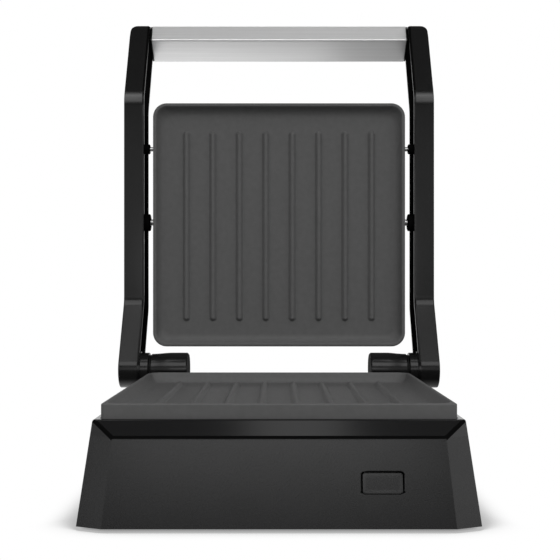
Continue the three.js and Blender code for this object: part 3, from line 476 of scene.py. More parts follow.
# A colour that goes from the first to the last as the source goes from low to high.
def tones(tree, source, low, high, first, last):
    ramp = node(tree, "ShaderNodeValToRGB", {"Fac": source})
    for point, place, colour in zip(ramp.color_ramp.elements, (low, high), (first, last)):
        point.position = place
        point.color = (*colour, 1)
    return ramp.outputs["Color"]


# A coat goes slowly from dark to light, and from smooth to rough with its grain, which also
# stands out by its depth.
def coat(tree, dark, light, smooth, rough, grain, depth, stretch=(1, 1, 1), metallic=0.0,
         specular=0.5, broad=60):
    slow = noise(tree, own_place(tree), broad, 3, stretch)
    fine = noise(tree, own_place(tree), grain, 2, stretch)
    bump = {"Strength": 0.5, "Distance": depth, "Height": fine}
    return node(tree, "ShaderNodeBsdfPrincipled", {
        "Base Color": tones(tree, slow, *noise_middle, dark, light),
        "Metallic": metallic,
        "Roughness": fade(tree, fine, *noise_middle, smooth, rough),
        "Specular IOR Level": specular,
        "Normal": node(tree, "ShaderNodeBump", bump).outputs[0],
    }).outputs[0]


def even_coat(tree, colour, rough, specular=0.5):
    inputs = {"Base Color": (*colour, 1), "Roughness": rough, "Specular IOR Level": specular}
    return node(tree, "ShaderNodeBsdfPrincipled", inputs).outputs[0]


def grey(tone, warm=0.0):
    return (tone * (1 + warm), tone, tone * (1 - warm))


# Painted shade: where a face carries the mark shade, the finish gives way to an unlit black without
# gloss. This dark colour is put on edges, end faces and lines that are seen in shade.
def shade_marks(tree, shader):
    mark = node(tree, "ShaderNodeAttribute", attribute_name="shade").outputs["Fac"]
    return mixed(tree, mark, shader, even_coat(tree, grey(0.0022), 0.6, 0.02))


# The measures are those of the coat: dark, light, smooth, rough, grain, depth and what follows.
def finish(name, *measures, shaded=False, **more):
    material, tree = new_material(name)
    shader = coat(tree, *measures, **more)
    if shaded:
        shader = shade_marks(tree, shader)
    node(tree, "ShaderNodeOutputMaterial", {"Surface": shader})
    return material


# The base: satin moulding below the edge, polished along the bevelled band and the rim above it.
def housing_finish(edge, blend=0.0004):
    material, tree = new_material("base_moulding")
    satin = coat(tree, (0.006, 0.006, 0.0062), (0.0074, 0.0074, 0.0077), 0.24, 0.28, 2600, 0.000003)
    polished = even_coat(tree, (0.005, 0.005, 0.0052), 0.16)
    _, _, height = parts_of(tree, own_place(tree))
    both = mixed(tree, fade(tree, height, edge - blend, edge + blend, 0, 1), satin, polished)
    # Faces that carry the mark shade get painted shade here too.
    node(tree, "ShaderNodeOutputMaterial", {"Surface": shade_marks(tree, both)})
    return material


finishes = {
    # The black moulding: satin, with painted shade where a piece's faces carry the mark shade.
    "black_plastic": finish(
        "satin_black_moulding", grey(0.004), grey(0.0048), 0.17, 0.22, 2400, 0.000003, shaded=True,
    ),
    "grey_coating": finish(
        "grey_coating", grey(0.076), grey(0.084), 0.5, 0.66, 1500, 0.00001, specular=0.15, broad=220,
    ),
    "brushed_aluminium": finish(
        "brushed_bar", grey(0.81), grey(0.88), 0.28, 0.35, 1, 0.0000015,
        stretch=(14, 2400, 2400), metallic=0.66, broad=0.35,
    ),
    "steel": finish("plated_steel", grey(0.54), grey(0.64), 0.2, 0.34, 900, 0.000004, metallic=1),
    "tin_plate": finish(
        "tin_sheet", grey(0.5), grey(0.62), 0.34, 0.5, 1, 0.000004,
        stretch=(900, 30, 900), metallic=1, broad=0.05,
    ),
    "heater_sheath": finish(
        "heater_tube", (0.06, 0.062, 0.055), (0.12, 0.105, 0.085), 0.42, 0.6, 1600, 0.00001,
        metallic=0.8, broad=160,
    ),
    # Painted shade: the black moulding darker and without gloss, for the arms' inner covers in shade.
    "inner_black": finish(
        "painted_shade_moulding", grey(0.0026), grey(0.0034), 0.5, 0.7, 2400, 0.000004, specular=0.0,
    ),
    "black_rubber": finish(
        "black_rubber", grey(0.01), grey(0.015), 0.72, 0.9, 1400, 0.00002, specular=0.2,
    ),
    "pale_plastic": finish(
        "pale_moulding", grey(0.64, 0.04), grey(0.7, 0.04), 0.45, 0.6, 2200, 0.000006,
    ),
    "washer_plastic": finish(
        "washer_moulding", grey(0.005), grey(0.0075), 0.42, 0.56, 2200, 0.000006, specular=0.2,
    ),
    "base": housing_finish(edge=0.0581),
}
slot_of = {piece["node"]: piece["material_slot"] for piece in frame["record"]["subparts"]}
for name, cad in frame["nodes"].items():
    cad.data.materials.clear()
    cad.data.materials.append(finishes[slot_of[name]])


# Tray plates, in a frame with the rim plane at z = 0 and the food side up.
plate = {
    "width": 230, "length": 222, "corner": 12.5, "floor_corner": 8, "lip": 3, "edge": 1.1,
    "wall_run": 9, "depth": 8.4, "floor": 3.2, "pocket": 8, "step": -9.3, "foot": -15.1,
    "ribs": 8, "rib_pitch": 24.3, "rib_length": 175.6,
}
wall_runs = (0.04, 0.09, 0.15, 0.22, 0.3, 0.39, 0.49, 0.6, 0.72, 0.85, 1)
plate_middle, upper_back, lower_drop = 131.1, 3.6, 1.2
lower_frame = Matrix.Translation(hinge_axis + Vector((0, -plate_middle, -lower_drop)) * mm)
upper_frame = (
    Matrix.Translation(hinge_axis + Vector((0, upper_back, plate_middle)) * mm)
    @ Matrix.Rotation(math.pi / 2, 4, "X")
)


# A ring of the plate; sharp is the radius of the corners away from the hinge of the lower plate.
def plate_ring(inset, height, radius=None, sharp=None):
    if radius is None:
        radius = max(plate["corner"] - inset, 5)
    near = radius if sharp is None else max(sharp - inset, 0.6)
    return flat_ring(
        round_rect(plate["width"] - 2 * inset, plate["length"] - 2 * inset, radius, 10, near=near), height,
    )


# The rings run from the pocket under the plate round its foot, up the outside, over the lip and
# down the hollow wall, which is steep at the lip and levels out at the floor.
def tray_shape(skirt, sharp):
    under = -plate["depth"] - plate["floor"]
    foot, step, lip, pocket = plate["foot"], plate["step"], plate["lip"], plate["pocket"]
    rings = [
        plate_ring(pocket + 1, under),
        plate_ring(pocket, under - 1),
        plate_ring(pocket, foot + 0.4),
        plate_ring(pocket - 0.4, foot),
        plate_ring(skirt + 0.4, foot, sharp=sharp),
        plate_ring(skirt, foot + 0.4, sharp=sharp),
    ]
    if skirt:
        rings += [plate_ring(skirt, step), plate_ring(0.8, step), plate_ring(0, step + 0.8)]
    rings += [plate_ring(inset, -drop, sharp=sharp) for inset, drop in quarter_round(plate["edge"])]
    rings += [plate_ring(lip - 0.7, 0), plate_ring(lip - 0.25, -0.12), plate_ring(lip, -0.5)]
    lip_corner = plate["corner"] - lip
    for run in wall_runs:
        drop = 1 - (1 - run) ** 3.1
        radius = lip_corner + (plate["floor_corner"] - lip_corner) * run
        rings.append(plate_ring(lip + run * plate["wall_run"], -plate["depth"] * drop, radius))
    return lofted(rings)


# Ribs: a ball drawn out to one long rounded form, repeated across the tray.
def rib_tree():
    tree, sockets, given = new_tree("rib_field", (
        ("Count", "Int", 8),
        ("Pitch", "Float", 0.0243),
        ("Length", "Float", 0.1756),
        ("Width", "Float", 0.0076),
        ("Height", "Float", 0.003),
        ("Crest", "Float", 0.2),
        ("Root", "Float", 0.0006),
    ))
    ball = node(tree, "GeometryNodeMeshUVSphere", {"Segments": 32, "Rings": 18, "Radius": 1})
    x, y, z = point_parts(tree)
    half_width = times(tree, given["Width"], 0.5)
    straight = math_node(tree, "SUBTRACT", times(tree, given["Length"], 0.5), half_width)
    drawn_out = times(tree, math_node(tree, "SIGN", y), straight)
    along = math_node(tree, "ADD", drawn_out, times(tree, y, half_width))
    squares = math_node(tree, "ADD", times(tree, x, x), times(tree, y, y))
    flank = fade(tree, math_node(tree, "SQRT", squares), given["Crest"], 1, 1, 0)
    top = times(tree, flank, given["Height"], math_node(tree, "GREATER_THAN", z, 0.0))
    root = times(tree, math_node(tree, "MINIMUM", z, 0.0), given["Root"])
    spot = vector_of(tree, times(tree, x, half_width), along, math_node(tree, "ADD", top, root))
    rib = moved(tree, ball.outputs["Mesh"], "Position", spot)
    repeated(tree, row_of_points(tree, given), rib, given["Finish"])
    return tree, sockets


ribs, rib_sizes = rib_tree()


# Places of four alike: how far apart across and along, and how far back their middle stands.
pan_places = {"across": 170, "along": 162, "back": 0}
cover_places = {"across": 224.4, "along": 246.5, "back": -117.25}
foot_places = {"across": 187.2, "along": 244.5, "back": -120.25}


def make_tray(name, body, cad_name, place, skirt, rib_shift, sharp=None):
    shape = tray_shape(skirt, sharp)
    field = grown(
        "rib_row", ribs, rib_sizes, "grey_coating",
        Count=plate["ribs"], Pitch=plate["rib_pitch"] * mm, Length=plate["rib_length"] * mm,
    )
    field.data.transform(shift(0, rib_shift, -plate["depth"]))
    shape.from_mesh(field.data)
    bpy.data.objects.remove(field)
    # The posts under the plate, which the screws of the reflector pan go into.
    x, y = pan_places["across"] / 2, pan_places["along"] / 2
    for post in ((-x, -y), (x, -y), (x, y), (-x, y)):
        add_post(shape, 4, -20, -11.4, post)
    shape.transform(place)
    keep(name, shape, body, "grey_coating", cad_name, smooth=50)


make_tray("lower_tray", "base", "lower_grill_plate", lower_frame, skirt=0, rib_shift=0.7, sharp=3)
make_tray("upper_tray", "upper_grill", "upper_grill_plate", upper_frame, skirt=4.1, rib_shift=-0.7)


# Arms, seen from the side as (back, up) from the hinge axis. Pieces that fit into each other have a
# gap between them.
gap = 0.3
arm = {
    "inner": 124.9, "outer": 143.4, "seam": 117.2, "front": 15.2, "low_bend": 61.5, "high_bend": 250,
    "top": 91.3, "depth": 32.4, "bend": 20, "high_turn": 33, "end": 10, "hinge": 16.8, "wall": 2.6,
}
arm_lean = math.radians(26.6)
arm_up = Vector((math.sin(arm_lean), math.cos(arm_lean)))
arm_back = Vector((arm_up.y, -arm_up.x))
pivot = {"place": (26.5, 134.7), "nub": 8, "reach": 5, "pin": 3, "boss": 8, "sleeve": 5.3}
limit = {"place": (24, 203), "nub": 4.6, "reach": 5, "pin": 2, "boss": 6}
axis, barrel_radius, shaft_bore = (0, 0), 14.8, 4.3
cover_inner = arm["inner"] + gap
cover_outer = cover_inner + 2.2
both_sides = ((1, "right"), (-1, "left"))


# A point of the leaning arm top, from the upper bend.
def arm_point(back, along):
    return Vector((arm["front"], arm["high_bend"])) + arm_up * along + arm_back * back


def arm_outline():
    low = Vector((arm["front"], arm["low_bend"]))
    high = Vector((arm["front"], arm["high_bend"]))

    def touch_angle(point, side):
        return math.atan2(point.y, point.x) + side * math.asin(arm["hinge"] / point.length)

    def mitre(point, first, second):
        return point + (first + second) * (arm["depth"] / (1 + first.dot(second)))

    straight_back = Vector((1, 0))
    front_angle = touch_angle(low, -1)
    low_back = Vector((math.sin(front_angle), -math.cos(front_angle)))
    rear_low = mitre(low, low_back, straight_back)
    rear_angle = touch_angle(rear_low, 1)
    corners = [
        Vector((math.sin(rear_angle), -math.cos(rear_angle))) * arm["hinge"],
        rear_low,
        mitre(high, straight_back, arm_back),
        arm_point(arm["depth"], arm["top"]),
        arm_point(0, arm["top"]),
        high,
        low,
        low_back * -arm["hinge"],
    ]
    bend, end = arm["bend"], arm["end"]
    outline = round_corners(corners, [0, bend, bend, end, end, arm["high_turn"], bend, 0], 12)
    arc = circle(arm["hinge"], 40, axis, front_angle + math.pi / 2, rear_angle + math.tau - math.pi / 2)
    return outline + arc[1:-1]


side_view = arm_outline()


# The arm's outline drawn in, with the round hinge end left out.
def cover_outline(inset, clear):
    edge = inset_outline(side_view, inset)
    kept = [i for i, p in enumerate(edge) if p.length > clear]

    def crossing(inside, outside):
        for _ in range(40):
            middle = (inside + outside) / 2
            inside, outside = (inside, middle) if middle.length > clear else (middle, outside)
        return outside

    start = crossing(edge[kept[0] - 1], edge[kept[0]])
    end = crossing(edge[kept[-1] + 1], edge[kept[-1]])
    arc = circle(clear, 24, axis, math.atan2(end.y, end.x), math.atan2(start.y, start.x))
    return [edge[i] for i in kept] + arc


# Rounds the outer top corner of an arm, as seen from the front, by flat cuts.
def round_top(shape, side, radius=8, inside=0.4):
    top = max(vert.co.z for vert in shape.verts)
    centre = Vector((side * (arm["outer"] - inside - radius) * mm, 0, top - (inside + radius) * mm))
    for turn in (4, 15, 30, 45, 60, 75, 86):
        angle = math.radians(turn)
        facing = Vector((side * math.cos(angle), 0, math.sin(angle)))
        cut = bmesh.ops.bisect_plane(
            shape, geom=[*shape.verts, *shape.edges, *shape.faces], dist=1e-7,
            plane_co=centre + facing * radius * mm, plane_no=facing, clear_outer=True,
        )
        rim = [part for part in cut["geom_cut"] if isinstance(part, bmesh.types.BMEdge)]
        bmesh.ops.contextual_create(shape, geom=rim)


# The outer half of an arm: its hollow shell, the round stub at the hinge, and bosses inside for
# the two pins and for two fixings. Near the top, its inner front edge gets painted shade.
def make_arm(side, name):
    shape = bmesh.new()
    inner, outer, wall = arm["inner"], arm["outer"], arm["wall"]
    hollow = [(outer - wall, wall), (inner + 0.3, wall), (inner, wall - 0.3)]
    chamfer = [(inner, 0.95), (inner + 0.15, 0.82), (inner + 1.75, 0.07), (inner + 2, 0)]
    rounded = [(outer - drop, inset) for drop, inset in quarter_round(0.9, 5)]
    loft(shape, side_rings(side_view, hollow + chamfer + rounded[::-1], side))
    seam, stub, bore, shaft_end, bottom = arm["seam"], barrel_radius, shaft_bore, 139.1, outer - wall + 0.4
    turned_x(shape, [
        (shaft_end, bore), (seam, bore), (seam, stub - 0.6), (seam + 0.18, stub - 0.2),
        (seam + 0.6, stub), (inner - 1.2, stub), (inner - 0.4, stub + 0.25),
        (inner + 0.05, stub + 0.8), (bottom, stub + 0.8),
    ], axis, side)
    top = cover_outer + gap
    for pin in (pivot, limit):
        boss, hole = pin["boss"], pin["pin"] + gap
        turned_x(shape, [(top, boss), (bottom, boss), (bottom, hole), (top, hole)], pin["place"], side, 32)
    low_fixing = Vector((arm["front"] + arm["depth"] / 2, arm["low_bend"] + 10))
    for place in (low_fixing, arm_point(arm["depth"] / 2, arm["top"] * 0.33)):
        turned_x(shape, [(top, 0), (top, 5), (bottom, 5), (bottom, 0)], place, side, 32)
    bmesh.ops.remove_doubles(shape, verts=shape.verts, dist=2e-7)
    round_top(shape, side)
    bmesh.ops.recalc_face_normals(shape, faces=shape.faces)
    # Painted shade on the chamfer of the inner front edge near the top, hiding its light line.
    painted_shade_above = 0.366
    shade_faces(shape, lambda place, normal: (
        normal.y < 0 and place.z > painted_shade_above and abs(place.x) < (inner + 2) * mm
    ))
    keep(f"{name}_arm", shape, "arm_frame", "black_plastic", f"{name}_arm_shell", smooth=34)


# The inner half of an arm, a flat cover with a round nub for each pin, in the black moulding with
# painted shade, darker and without gloss.
def make_arm_cover(side, name):
    shape = bmesh.new()
    outline = cover_outline(arm["wall"] + gap, arm["hinge"] + gap)
    loft(shape, side_rings(outline, rounded_levels(cover_inner, cover_outer, 0.4, 0.1, 3), side))
    back = cover_outer - 0.2
    for nub in (pivot, limit):
        face, radius, hole = cover_inner - nub["reach"], nub["nub"], nub["pin"] + gap
        turned_x(shape, [
            (back, hole), (face + 0.3, hole), (face, hole + 0.3), (face, radius - 1),
            (face + 0.25, radius - 0.35), (face + 0.8, radius), (cover_inner - 0.6, radius),
            (cover_inner + 0.3, radius + 0.8), (back, radius + 0.8),
        ], nub["place"], side, 48)
    keep(f"{name}_arm_cover", shape, "arm_frame", "black_plastic", f"{name}_arm_cover", smooth=34,
         look="inner_black")


# Hinge barrel on its saddle, a little narrower towards the arm. The faces at its free end that
# look to the middle get painted shade, an unlit black in place of their gloss.
def make_barrel(side, name):
    shape = bmesh.new()
    inner, end, radius, edge, bore = 81.8, 115.2, barrel_radius, 1.9, shaft_bore
    waist_start, waist_length, waist_depth, waist_steps = 96.5, 18, 1.05, 12
    rounded = [(inner + depth, radius - drop) for depth, drop in quarter_round(edge, 8)]
    waist = []
    for t in (k / waist_steps for k in range(waist_steps + 1)):
        narrower = waist_depth * (3 * t * t - 2 * t ** 3)
        waist.append((waist_start + waist_length * t, radius - narrower))
    turned_x(shape, [
        (inner + 6, 0), (inner + 6, bore), (end, bore), (end, radius - 1.5), (end - 0.4, radius - 1.1),
        *reversed(waist), *reversed(rounded), (inner, 0),
    ], axis, side, 96)
    # The saddle, which flares out at its foot.
    low, across, along = -18.3, 22, 21
    middle = inner + 4 + across / 2
    rings = []
    for height, flare in ((low, 3), (low + 0.6, 1.7), (low + 1.6, 0.6), (low + 3, 0), (0, 0)):
        outline = round_rect(across + 2 * flare, along + 2 * flare, 3 + flare / 2, 6, (middle, 0))
        rings.append([
            Vector((side * p.x * mm, hinge_axis.y + p.y * mm, hinge_axis.z + height * mm)) for p in outline
        ])
    loft(shape, rings)
    bmesh.ops.recalc_face_normals(shape, faces=shape.faces)
    # Painted shade on the free end's faces that look to the middle.
    shade_faces(shape, lambda place, normal: (
        abs(place.x) < (inner + 1.2) * mm and side * normal.x < -0.93
    ))
    keep(f"{name}_barrel", shape, "base", "black_plastic", f"{name}_hinge_barrel", smooth=34)


def make_washer(side, name):
    shape = bmesh.new()
    low, high, radius, edge = arm["seam"] - 1.7, arm["seam"] - gap, 12.8, 0.2
    turned_x(shape, [
        (high, shaft_bore), (low, shaft_bore), (low, radius - edge), (low + edge, radius),
        (high - edge, radius), (high, radius - edge),
    ], axis, side, 72)
    keep(f"{name}_washer", shape, "base", "washer_plastic", f"{name}_hinge_washer")


# Steel pins with chamfered ends, from the wall of the upper housing into the arm.
def make_pin(side, name, kind, size):
    shape = bmesh.new()
    low, high, radius, edge = 108.7, cover_outer + gap + 7, size["pin"], 0.5
    turned_x(shape, [
        (low, 0), (low, radius - edge), (low + edge, radius), (high - edge, radius),
        (high, radius - edge), (high, 0),
    ], size["place"], side, 32)
    keep(f"{name}_{kind}_rod", shape, "arm_frame", "steel", f"{name}_{kind}_pin")


# Handle bar: a hollow profile with its corners rounded and its cut ends lightly broken.
bar_half = 123.1


def bar_section(inset):
    front, back, top = 5.9, 31.9, arm["top"]
    corners = [arm_point(front, 73.2), arm_point(back, 67.8), arm_point(back, top), arm_point(front, top)]
    return round_corners(inset_outline(corners, inset), [max(1.6 - inset, 0.4)] * 4, 8)


def section_rings(levels, side=1):
    return [side_ring(bar_section(inset), place, side) for place, inset in levels]


def make_handle():
    half, wall, edge = bar_half, 2, 0.3
    outside = [(-half, edge), (edge - half, 0), (half - edge, 0), (half, edge)]
    inside = [(half, wall - edge), (half - edge, wall), (edge - half, wall), (-half, wall - edge)]
    shape = lofted(section_rings(outside + inside), joined=True)
    keep("handle_profile", shape, "arm_frame", "brushed_aluminium", "handle_bar", smooth=30)


# A collar between the bar and the arm, with a tongue inside the bar.
def make_handle_plug(side, name):
    shape = bmesh.new()
    low, high, tongue = bar_half + gap, arm["inner"] - gap, bar_half - 16
    loft(shape, section_rings([(low, 0.5), (low + 0.25, 0.25), (high - 0.25, 0.25), (high, 0.5)], side))
    loft(shape, section_rings([(tongue, 2.8), (tongue + 0.5, 2.3), (high - 0.1, 2.3)], side))
    keep(f"{name}_plug", shape, "arm_frame", "black_plastic", f"{name}_handle_plug")


for side, name in both_sides:
    make_arm(side, name)
    make_arm_cover(side, name)
    make_barrel(side, name)
    make_washer(side, name)
    make_pin(side, name, "pivot", pivot)
    make_pin(side, name, "limit", limit)
    make_handle_plug(side, name)
make_handle()


# Base housing: the moulded shell with its outer edges broken. Its front leans back from the foot
# by front_lean over front_rise.
base_frame = Matrix.Translation(hinge_axis - Vector((0, 0, 76.6)) * mm)
front_foot, front_lean, front_rise = -262.5, 8.9, 55.1


def merged_copy(node_name):
    shape = bmesh.new()
    shape.from_mesh(bpy.data.objects[node_name].data)
    bmesh.ops.remove_doubles(shape, verts=shape.verts, dist=2e-6)
    bmesh.ops.recalc_face_normals(shape, faces=shape.faces)
    bmesh.ops.dissolve_limit(
        shape, angle_limit=math.radians(0.5), verts=shape.verts, edges=shape.edges, delimit=set(),
    )
    return shape


# Whether a point lies at the button's hole.
def by_button(point):
    return 0.047 < point.x < 0.083 and 0.018 < point.z < 0.042


# How far an edge of the base is broken, as a share of the widest.
def edge_share(edge, middle):
    sides = edge.link_faces
    if len(sides) != 2:
        return 0
    if all(by_button(vert.co) for vert in edge.verts):
        # The front edge of the button's hole, apart from its lower side.
        fronts = [face.normal.y < -0.97 for face in sides]
        high = max(vert.co.z for vert in edge.verts) > 0.0245
        return 0.6 if any(fronts) and not all(fronts) and high else 0
    if not edge.is_convex or edge.calc_face_angle() < math.radians(12):
        return 0
    if any(vert.co.z < 0.0026 for vert in edge.verts):
        return 0
    if any(face.normal.dot(face.calc_center_median() - middle) <= 0 for face in sides):
        return 0
    # The edges under the bevelled band and down its slanted ends are broken more than the others.
    lifts = sorted(face.normal.z for face in sides)
    in_front = all(face.normal.y < -0.5 for face in sides)
    return 1 if 0.1 < lifts[0] < 0.3 and 0.5 < lifts[1] < 0.7 and in_front else 0.5


# Painted shade on the hole's chamfers that face down or sideways, and on a line under the bevelled
# band and down its slanted ends.
def base_shade(place, normal):
    if by_button(place):
        return -0.95 < normal.y < 0.5 and normal.z < 0.3
    if normal.y >= 0 or not 0.054 < place.z < 0.068:
        return False
    lift = math.degrees(math.asin(normal.z))
    turn = math.degrees(math.atan2(normal.x, -normal.y))
    return 17 < lift < 34.5 and abs(turn) < 21


def make_base():
    shape = merged_copy("base_housing")
    middle = Vector((0, hinge_axis.y - 0.12, 0.03))
    weight = shape.edges.layers.float.new("bevel_weight_edge")
    for edge in shape.edges:
        edge[weight] = edge_share(edge, middle)
    rough = made_object("broken_edges", shape)
    bevel = rough.modifiers.new("broken_edges", "BEVEL")
    bevel.limit_method = "WEIGHT"
    bevel.width = 1.7 * mm
    bevel.segments = 3
    bevel.use_clamp_overlap = False
    settle(rough)
    shape = bmesh.new()
    shape.from_mesh(rough.data)
    bpy.data.objects.remove(rough)
    shape.normal_update()
    shade_faces(shape, base_shade)
    keep("housing", shape, "base", "black_plastic", "base_housing", smooth=30, look="base")


make_base()


# Push button: a slightly tilted border round a flat face, in the leaning front of the base.
button_x, button_z = 64.9, 27.6
button_y = front_foot + front_lean * button_z / front_rise
face_frame = (
    base_frame
    @ shift(button_x, button_y, button_z)
    @ Matrix.Rotation(math.pi / 2 - math.atan2(front_lean, front_rise), 4, "X")
)


def make_button():
    width, tall, corner, border, low, edge, tilt = 25.3, 12.9, 1.5, 1.7, 0.2, 0.35, -0.026

    def ring(inset, height, lean=0.0):
        outline = round_rect(width - 2 * inset, tall - 2 * inset, max(corner - inset, 0.5), 6, (0, -0.1))
        return flat_ring(outline, height, lean)

    rings = [ring(0.3, -6), ring(0, -5.7)]
    rings += [ring(inset, low - drop, tilt) for inset, drop in quarter_round(edge)]
    # The border's tilt runs out over the first millimetre of the face.
    for step, lean in ((-0.3, tilt), (0, -0.024), (0.3, -0.012), (0.6, -0.002), (0.9, 0)):
        rings.append(ring(border + step, low, lean))
    shape = lofted(rings)
    add_post(shape, 2.5, -17, -5.8)
    shape.transform(face_frame)
    keep("push_button", shape, "power_button", "black_plastic", "power_button", smooth=34, look="base")


make_button()


# A path with its corners rounded between the ends, each by its own width.
def softened(path, widths, steps=5):
    soft = [path[0]]
    for before, point, after, width in zip(path, path[1:], path[2:], widths):
        a = point + (before - point).normalized() * width
        b = point + (after - point).normalized() * width
        soft += [a.lerp(point, t).lerp(point.lerp(b, t), t) for t in (k / steps for k in range(steps + 1))]
    return soft + [path[-1]]


# The section of the upper housing as (inset from the plate's edge, height): its back, its bevel
# and side to the rim, and the same again inside.
def housing_path():
    rim, depth, bevel, wall, draft, margin, centre = -9.6, 37, 12, 2.6, 1.2, 0.5, 34
    back, side, inner_side = rim - depth, draft - margin, wall - margin + draft
    path = [
        (bevel + centre, back), (bevel + side, back), (side, back + bevel), (-margin, rim),
        (wall - margin, rim), (inner_side, back + bevel), (inner_side + bevel, back + wall),
        (bevel + centre, back + wall),
    ]
    return softened([Vector(p) for p in path], [3.5, 3.5, 0.7, 0.4, 2, 2])


# A place of the arms' side view, seen in the upper plate's frame as (along, up).
def from_side(place):
    return Vector((place[1] - plate_middle, upper_back - place[0]))


# A ring in the upper plate's frame, to cut across its whole width.
def across_ring(centre, radius, steps, x):
    return [Vector((x, p.x, p.y)) * mm for p in circle(radius, steps, centre)]


# Upper housing: a bevelled shell behind the upper tray, with the bearing holes and the slots in
# which the limit pins stop its tilt.
def make_upper_housing():
    reach, tilt = 120, 2
    corner = plate["corner"]
    piece = cutter("upper_shell", lofted([
        plate_ring(p.x, p.y, max(corner - p.x, corner / 2)) for p in housing_path()
    ]))
    middle = from_side(pivot["place"])
    bearing = lofted([across_ring(middle, pivot["sleeve"] + gap, 48, x) for x in (-reach, reach)])
    slot = bmesh.new()
    spoke = from_side(limit["place"]) - middle
    for turn in (-tilt, tilt):
        end = middle + Matrix.Rotation(math.radians(turn), 2) @ spoke
        for x in (-reach, reach):
            for point in across_ring(end, limit["pin"] + gap, 32, x):
                slot.verts.new(point)
    hull = bmesh.ops.convex_hull(slot, input=slot.verts)
    spare = hull["geom_unused"] + hull["geom_interior"]
    loose = {item for item in spare if isinstance(item, bmesh.types.BMVert)}
    bmesh.ops.delete(slot, geom=list(loose), context="VERTS")
    opened(piece, cutter("bearing_hole", bearing), cutter("limit_slot", slot))
    piece.data.transform(upper_frame)
    dress(piece, "upper_grill", "black_plastic", ["upper_housing"], smooth=34)


make_upper_housing()


# Flanged bush of each pivot pin.
def make_bush(side, name):
    shape = bmesh.new()
    bore, sleeve, flange, shoulder, end = pivot["pin"] + gap, pivot["sleeve"], 7.3, 111.4, 115.5
    turned_x(shape, [
        (end, bore), (shoulder - 2.4, bore), (shoulder - 2.4, flange - 0.3), (shoulder - 2.1, flange),
        (shoulder, flange), (shoulder, sleeve), (end - 0.3, sleeve), (end, sleeve - 0.3),
    ], pivot["place"], side, 48)
    keep(f"{name}_bush", shape, "upper_grill", "washer_plastic", f"{name}_pivot_bush", smooth=34)


for side, name in both_sides:
    make_bush(side, name)


# Four alike at the corners of a rectangle, each turned differently.
def fixing_tree():
    tree, sockets, given = new_tree("four_fixings", (
        ("Form", "Object", None),
        ("Width", "Float", 0.2),
        ("Length", "Float", 0.2),
        ("Turn", "Float", 0.0),
        ("Seed", "Int", 3),
    ))
    corners = node(tree, "GeometryNodeMeshGrid", {
        "Vertices X": 2, "Vertices Y": 2, "Size X": given["Width"], "Size Y": given["Length"],
    })
    form = node(tree, "GeometryNodeObjectInfo", {"Object": given["Form"]}, transform_space="ORIGINAL")
    least, most = 2, 3
    turn = node(
        tree, "FunctionNodeRandomValue", {least: 0.0, most: given["Turn"], "Seed": given["Seed"]},
        data_type="FLOAT",
    )
    angles = vector_of(tree, 0, 0, turn.outputs[1])
    repeated(tree, corners.outputs["Mesh"], form.outputs["Geometry"], given["Finish"], angles)
    return tree, sockets


fixings, fixing_sizes = fixing_tree()


# Four of a form at the given places, at a height over the frame, each turned by up to turn.
def four(name, form, slot, places, height=0, frame=Matrix.Identity(4), turn=0.0, seed=3):
    piece = grown(
        name, fixings, fixing_sizes, slot, Form=form, Width=places["across"] * mm,
        Length=places["along"] * mm, Turn=turn, Seed=seed,
    )
    piece.data.transform(frame @ shift(0, places["back"], height))
    return piece


# The screws' threads are hidden, so they are left plain.
def screw_form(length):
    head, shank = 3.2, 1.5
    shape = turned_z([
        (0.25, 0), (0, 1), (0, head - 0.8), (0.1, head - 0.3), (0.4, head - 0.05), (0.8, head),
        (1.4, head), (1.4, shank), (length - 1.2, shank), (length, 0.6), (length, 0),
    ])
    slot = lofted([flat_ring(round_rect(0.8, 9, 0.2, 2), height) for height in (-1, 0.7)])
    return opened(cutter("screw", shape), cutter("screw_slot", slot))


def foot_form():
    return cutter("rubber_foot", turned_z([
        (5, 0), (5, 2.6), (4.6, 3), (0.05, 3), (0.05, 7.6), (-0.3, 8), (-1.6, 7.5), (-2.2, 7.2),
        (-2.5, 6.8), (-2.5, 5), (-2.1, 4.6), (-2.1, 0),
    ], 48))


# Four of a form as one piece, in place of the four numbered nodes. The form is used up.
def fix_four(name, nodes, form, slot, body, places, height, frame, **turning):
    piece = four(name, form, slot, places, height, frame, **turning)
    dress(piece, body, slot, [f"{nodes}_{i}" for i in range(1, 5)], smooth=34)
    bpy.data.objects.remove(form)


fix_four("cover_screws", "cover_screw", screw_form(12), "steel", "base",
         cover_places, 0.3, base_frame, turn=math.tau, seed=3)
fix_four("lower_pan_screws", "lower_pan_screw", screw_form(9), "steel", "base",
         pan_places, -22.8, lower_frame, turn=math.tau, seed=5)
fix_four("upper_pan_screws", "upper_pan_screw", screw_form(9), "steel", "upper_grill",
         pan_places, -22.8, upper_frame, turn=math.tau, seed=8)
fix_four("rubber_feet", "foot", foot_form(), "black_rubber", "base",
         foot_places, 0, base_frame)


# Vent slots in two groups, as shapes to cut with.
def slot_tree():
    tree, sockets, given = new_tree("vent_slots", (
        ("Count", "Int", 12),
        ("Pitch", "Float", 0.009),
        ("Parting", "Float", 0.018),
        ("Length", "Float", 0.034),
        ("Width", "Float", 0.003),
        ("Depth", "Float", 0.008),
    ))
    post = node(tree, "GeometryNodeMeshCylinder", {
        "Vertices": 24, "Radius": times(tree, given["Width"], 0.5), "Depth": given["Depth"],
    })
    x, y, _ = point_parts(tree)
    half = times(tree, math_node(tree, "SUBTRACT", given["Length"], given["Width"]), 0.5)
    along = vector_of(tree, 0, times(tree, math_node(tree, "SIGN", y), half))
    slot = moved(tree, post.outputs["Mesh"], "Offset", along)
    apart = vector_of(tree, times(tree, math_node(tree, "SIGN", x), given["Parting"]))
    places = moved(tree, row_of_points(tree, given), "Offset", apart)
    repeated(tree, places, slot, given["Finish"])
    return tree, sockets


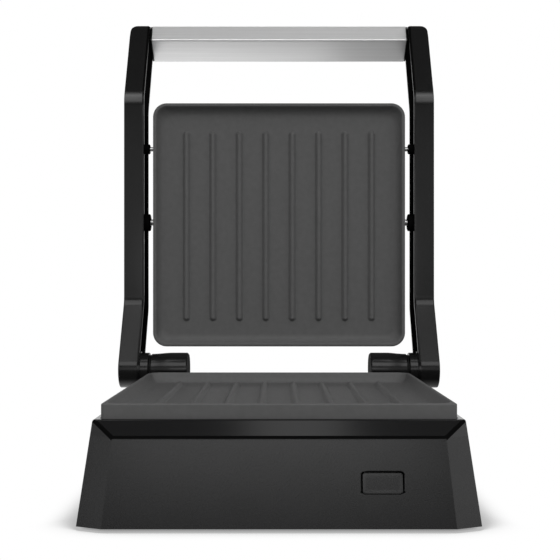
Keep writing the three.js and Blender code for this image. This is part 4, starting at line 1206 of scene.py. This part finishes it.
# Bottom cover: a sheet that follows the housing, with vents, screw seats and foot holes.
def make_bottom_cover():
    half, rear, corner, front_corner, front_slant = 127.6, 22, 9, 17, 6.9
    inset, thickness = 2.8, 3
    right = [
        (half - front_corner, front_foot), (half, front_foot + front_slant), (half, rear - corner),
        (half - corner, rear),
    ]
    outline = [Vector(p) for p in right] + [Vector((-x, y)) for x, y in reversed(right)]
    levels = ((0.8, 0), (0.5, 0.3), (0.38, thickness - 0.2), (0.6, thickness))
    piece = cutter("bottom_sheet", lofted([
        flat_ring(inset_outline(outline, inset + extra), height) for extra, height in levels
    ]))
    tree, sizes = slot_tree()
    vents = grown("vent_row", tree, sizes, "black_plastic", Count=12, Parting=18 * mm)
    vents.data.transform(shift(0, -plate_middle, thickness / 2))
    seat = cutter("screw_seat", turned_z([(-1, 0), (-1, 3.5), (2, 3.5), (2, 1.8), (4, 1.8), (4, 0)]))
    peg = cutter("peg_hole", turned_z([(-1, 0), (-1, 3.3), (4, 3.3), (4, 0)]))
    opened(
        piece, vents,
        four("screw_seats", seat, "black_plastic", cover_places),
        four("peg_holes", peg, "black_plastic", foot_places),
    )
    bpy.data.objects.remove(seat)
    bpy.data.objects.remove(peg)
    piece.data.transform(base_frame)
    dress(piece, "base", "black_plastic", ["bottom_cover"], smooth=30)


make_bottom_cover()


# Cord inlet: a flanged rubber sleeve through the rear wall, between its inside and its outside.
def make_gland():
    bore, neck, flange, thick, collar = 4, 6.5, 9.5, 3, 2
    outside, inside = 22.3, 19.2
    inner, held, end = inside - collar, neck + collar, outside + thick
    shape = turned_z([
        (inner, bore), (inner, held - 0.3), (inner + 0.3, held), (inside, held), (inside, neck),
        (outside, neck), (outside, flange - 0.2), (outside + 0.2, flange), (end - 1.2, flange),
        (end - 0.6, flange - 0.2), (end - 0.15, flange - 0.75), (end, flange - 1.4),
        (end, bore + 1.2), (end - 0.2, bore + 0.5), (end - 0.8, bore),
    ], 64)
    shape.transform(base_frame @ shift(0, 0, 24) @ Matrix.Rotation(-math.pi / 2, 4, "X"))
    keep("cord_inlet", shape, "base", "black_rubber", "cord_gland", smooth=34)


make_gland()
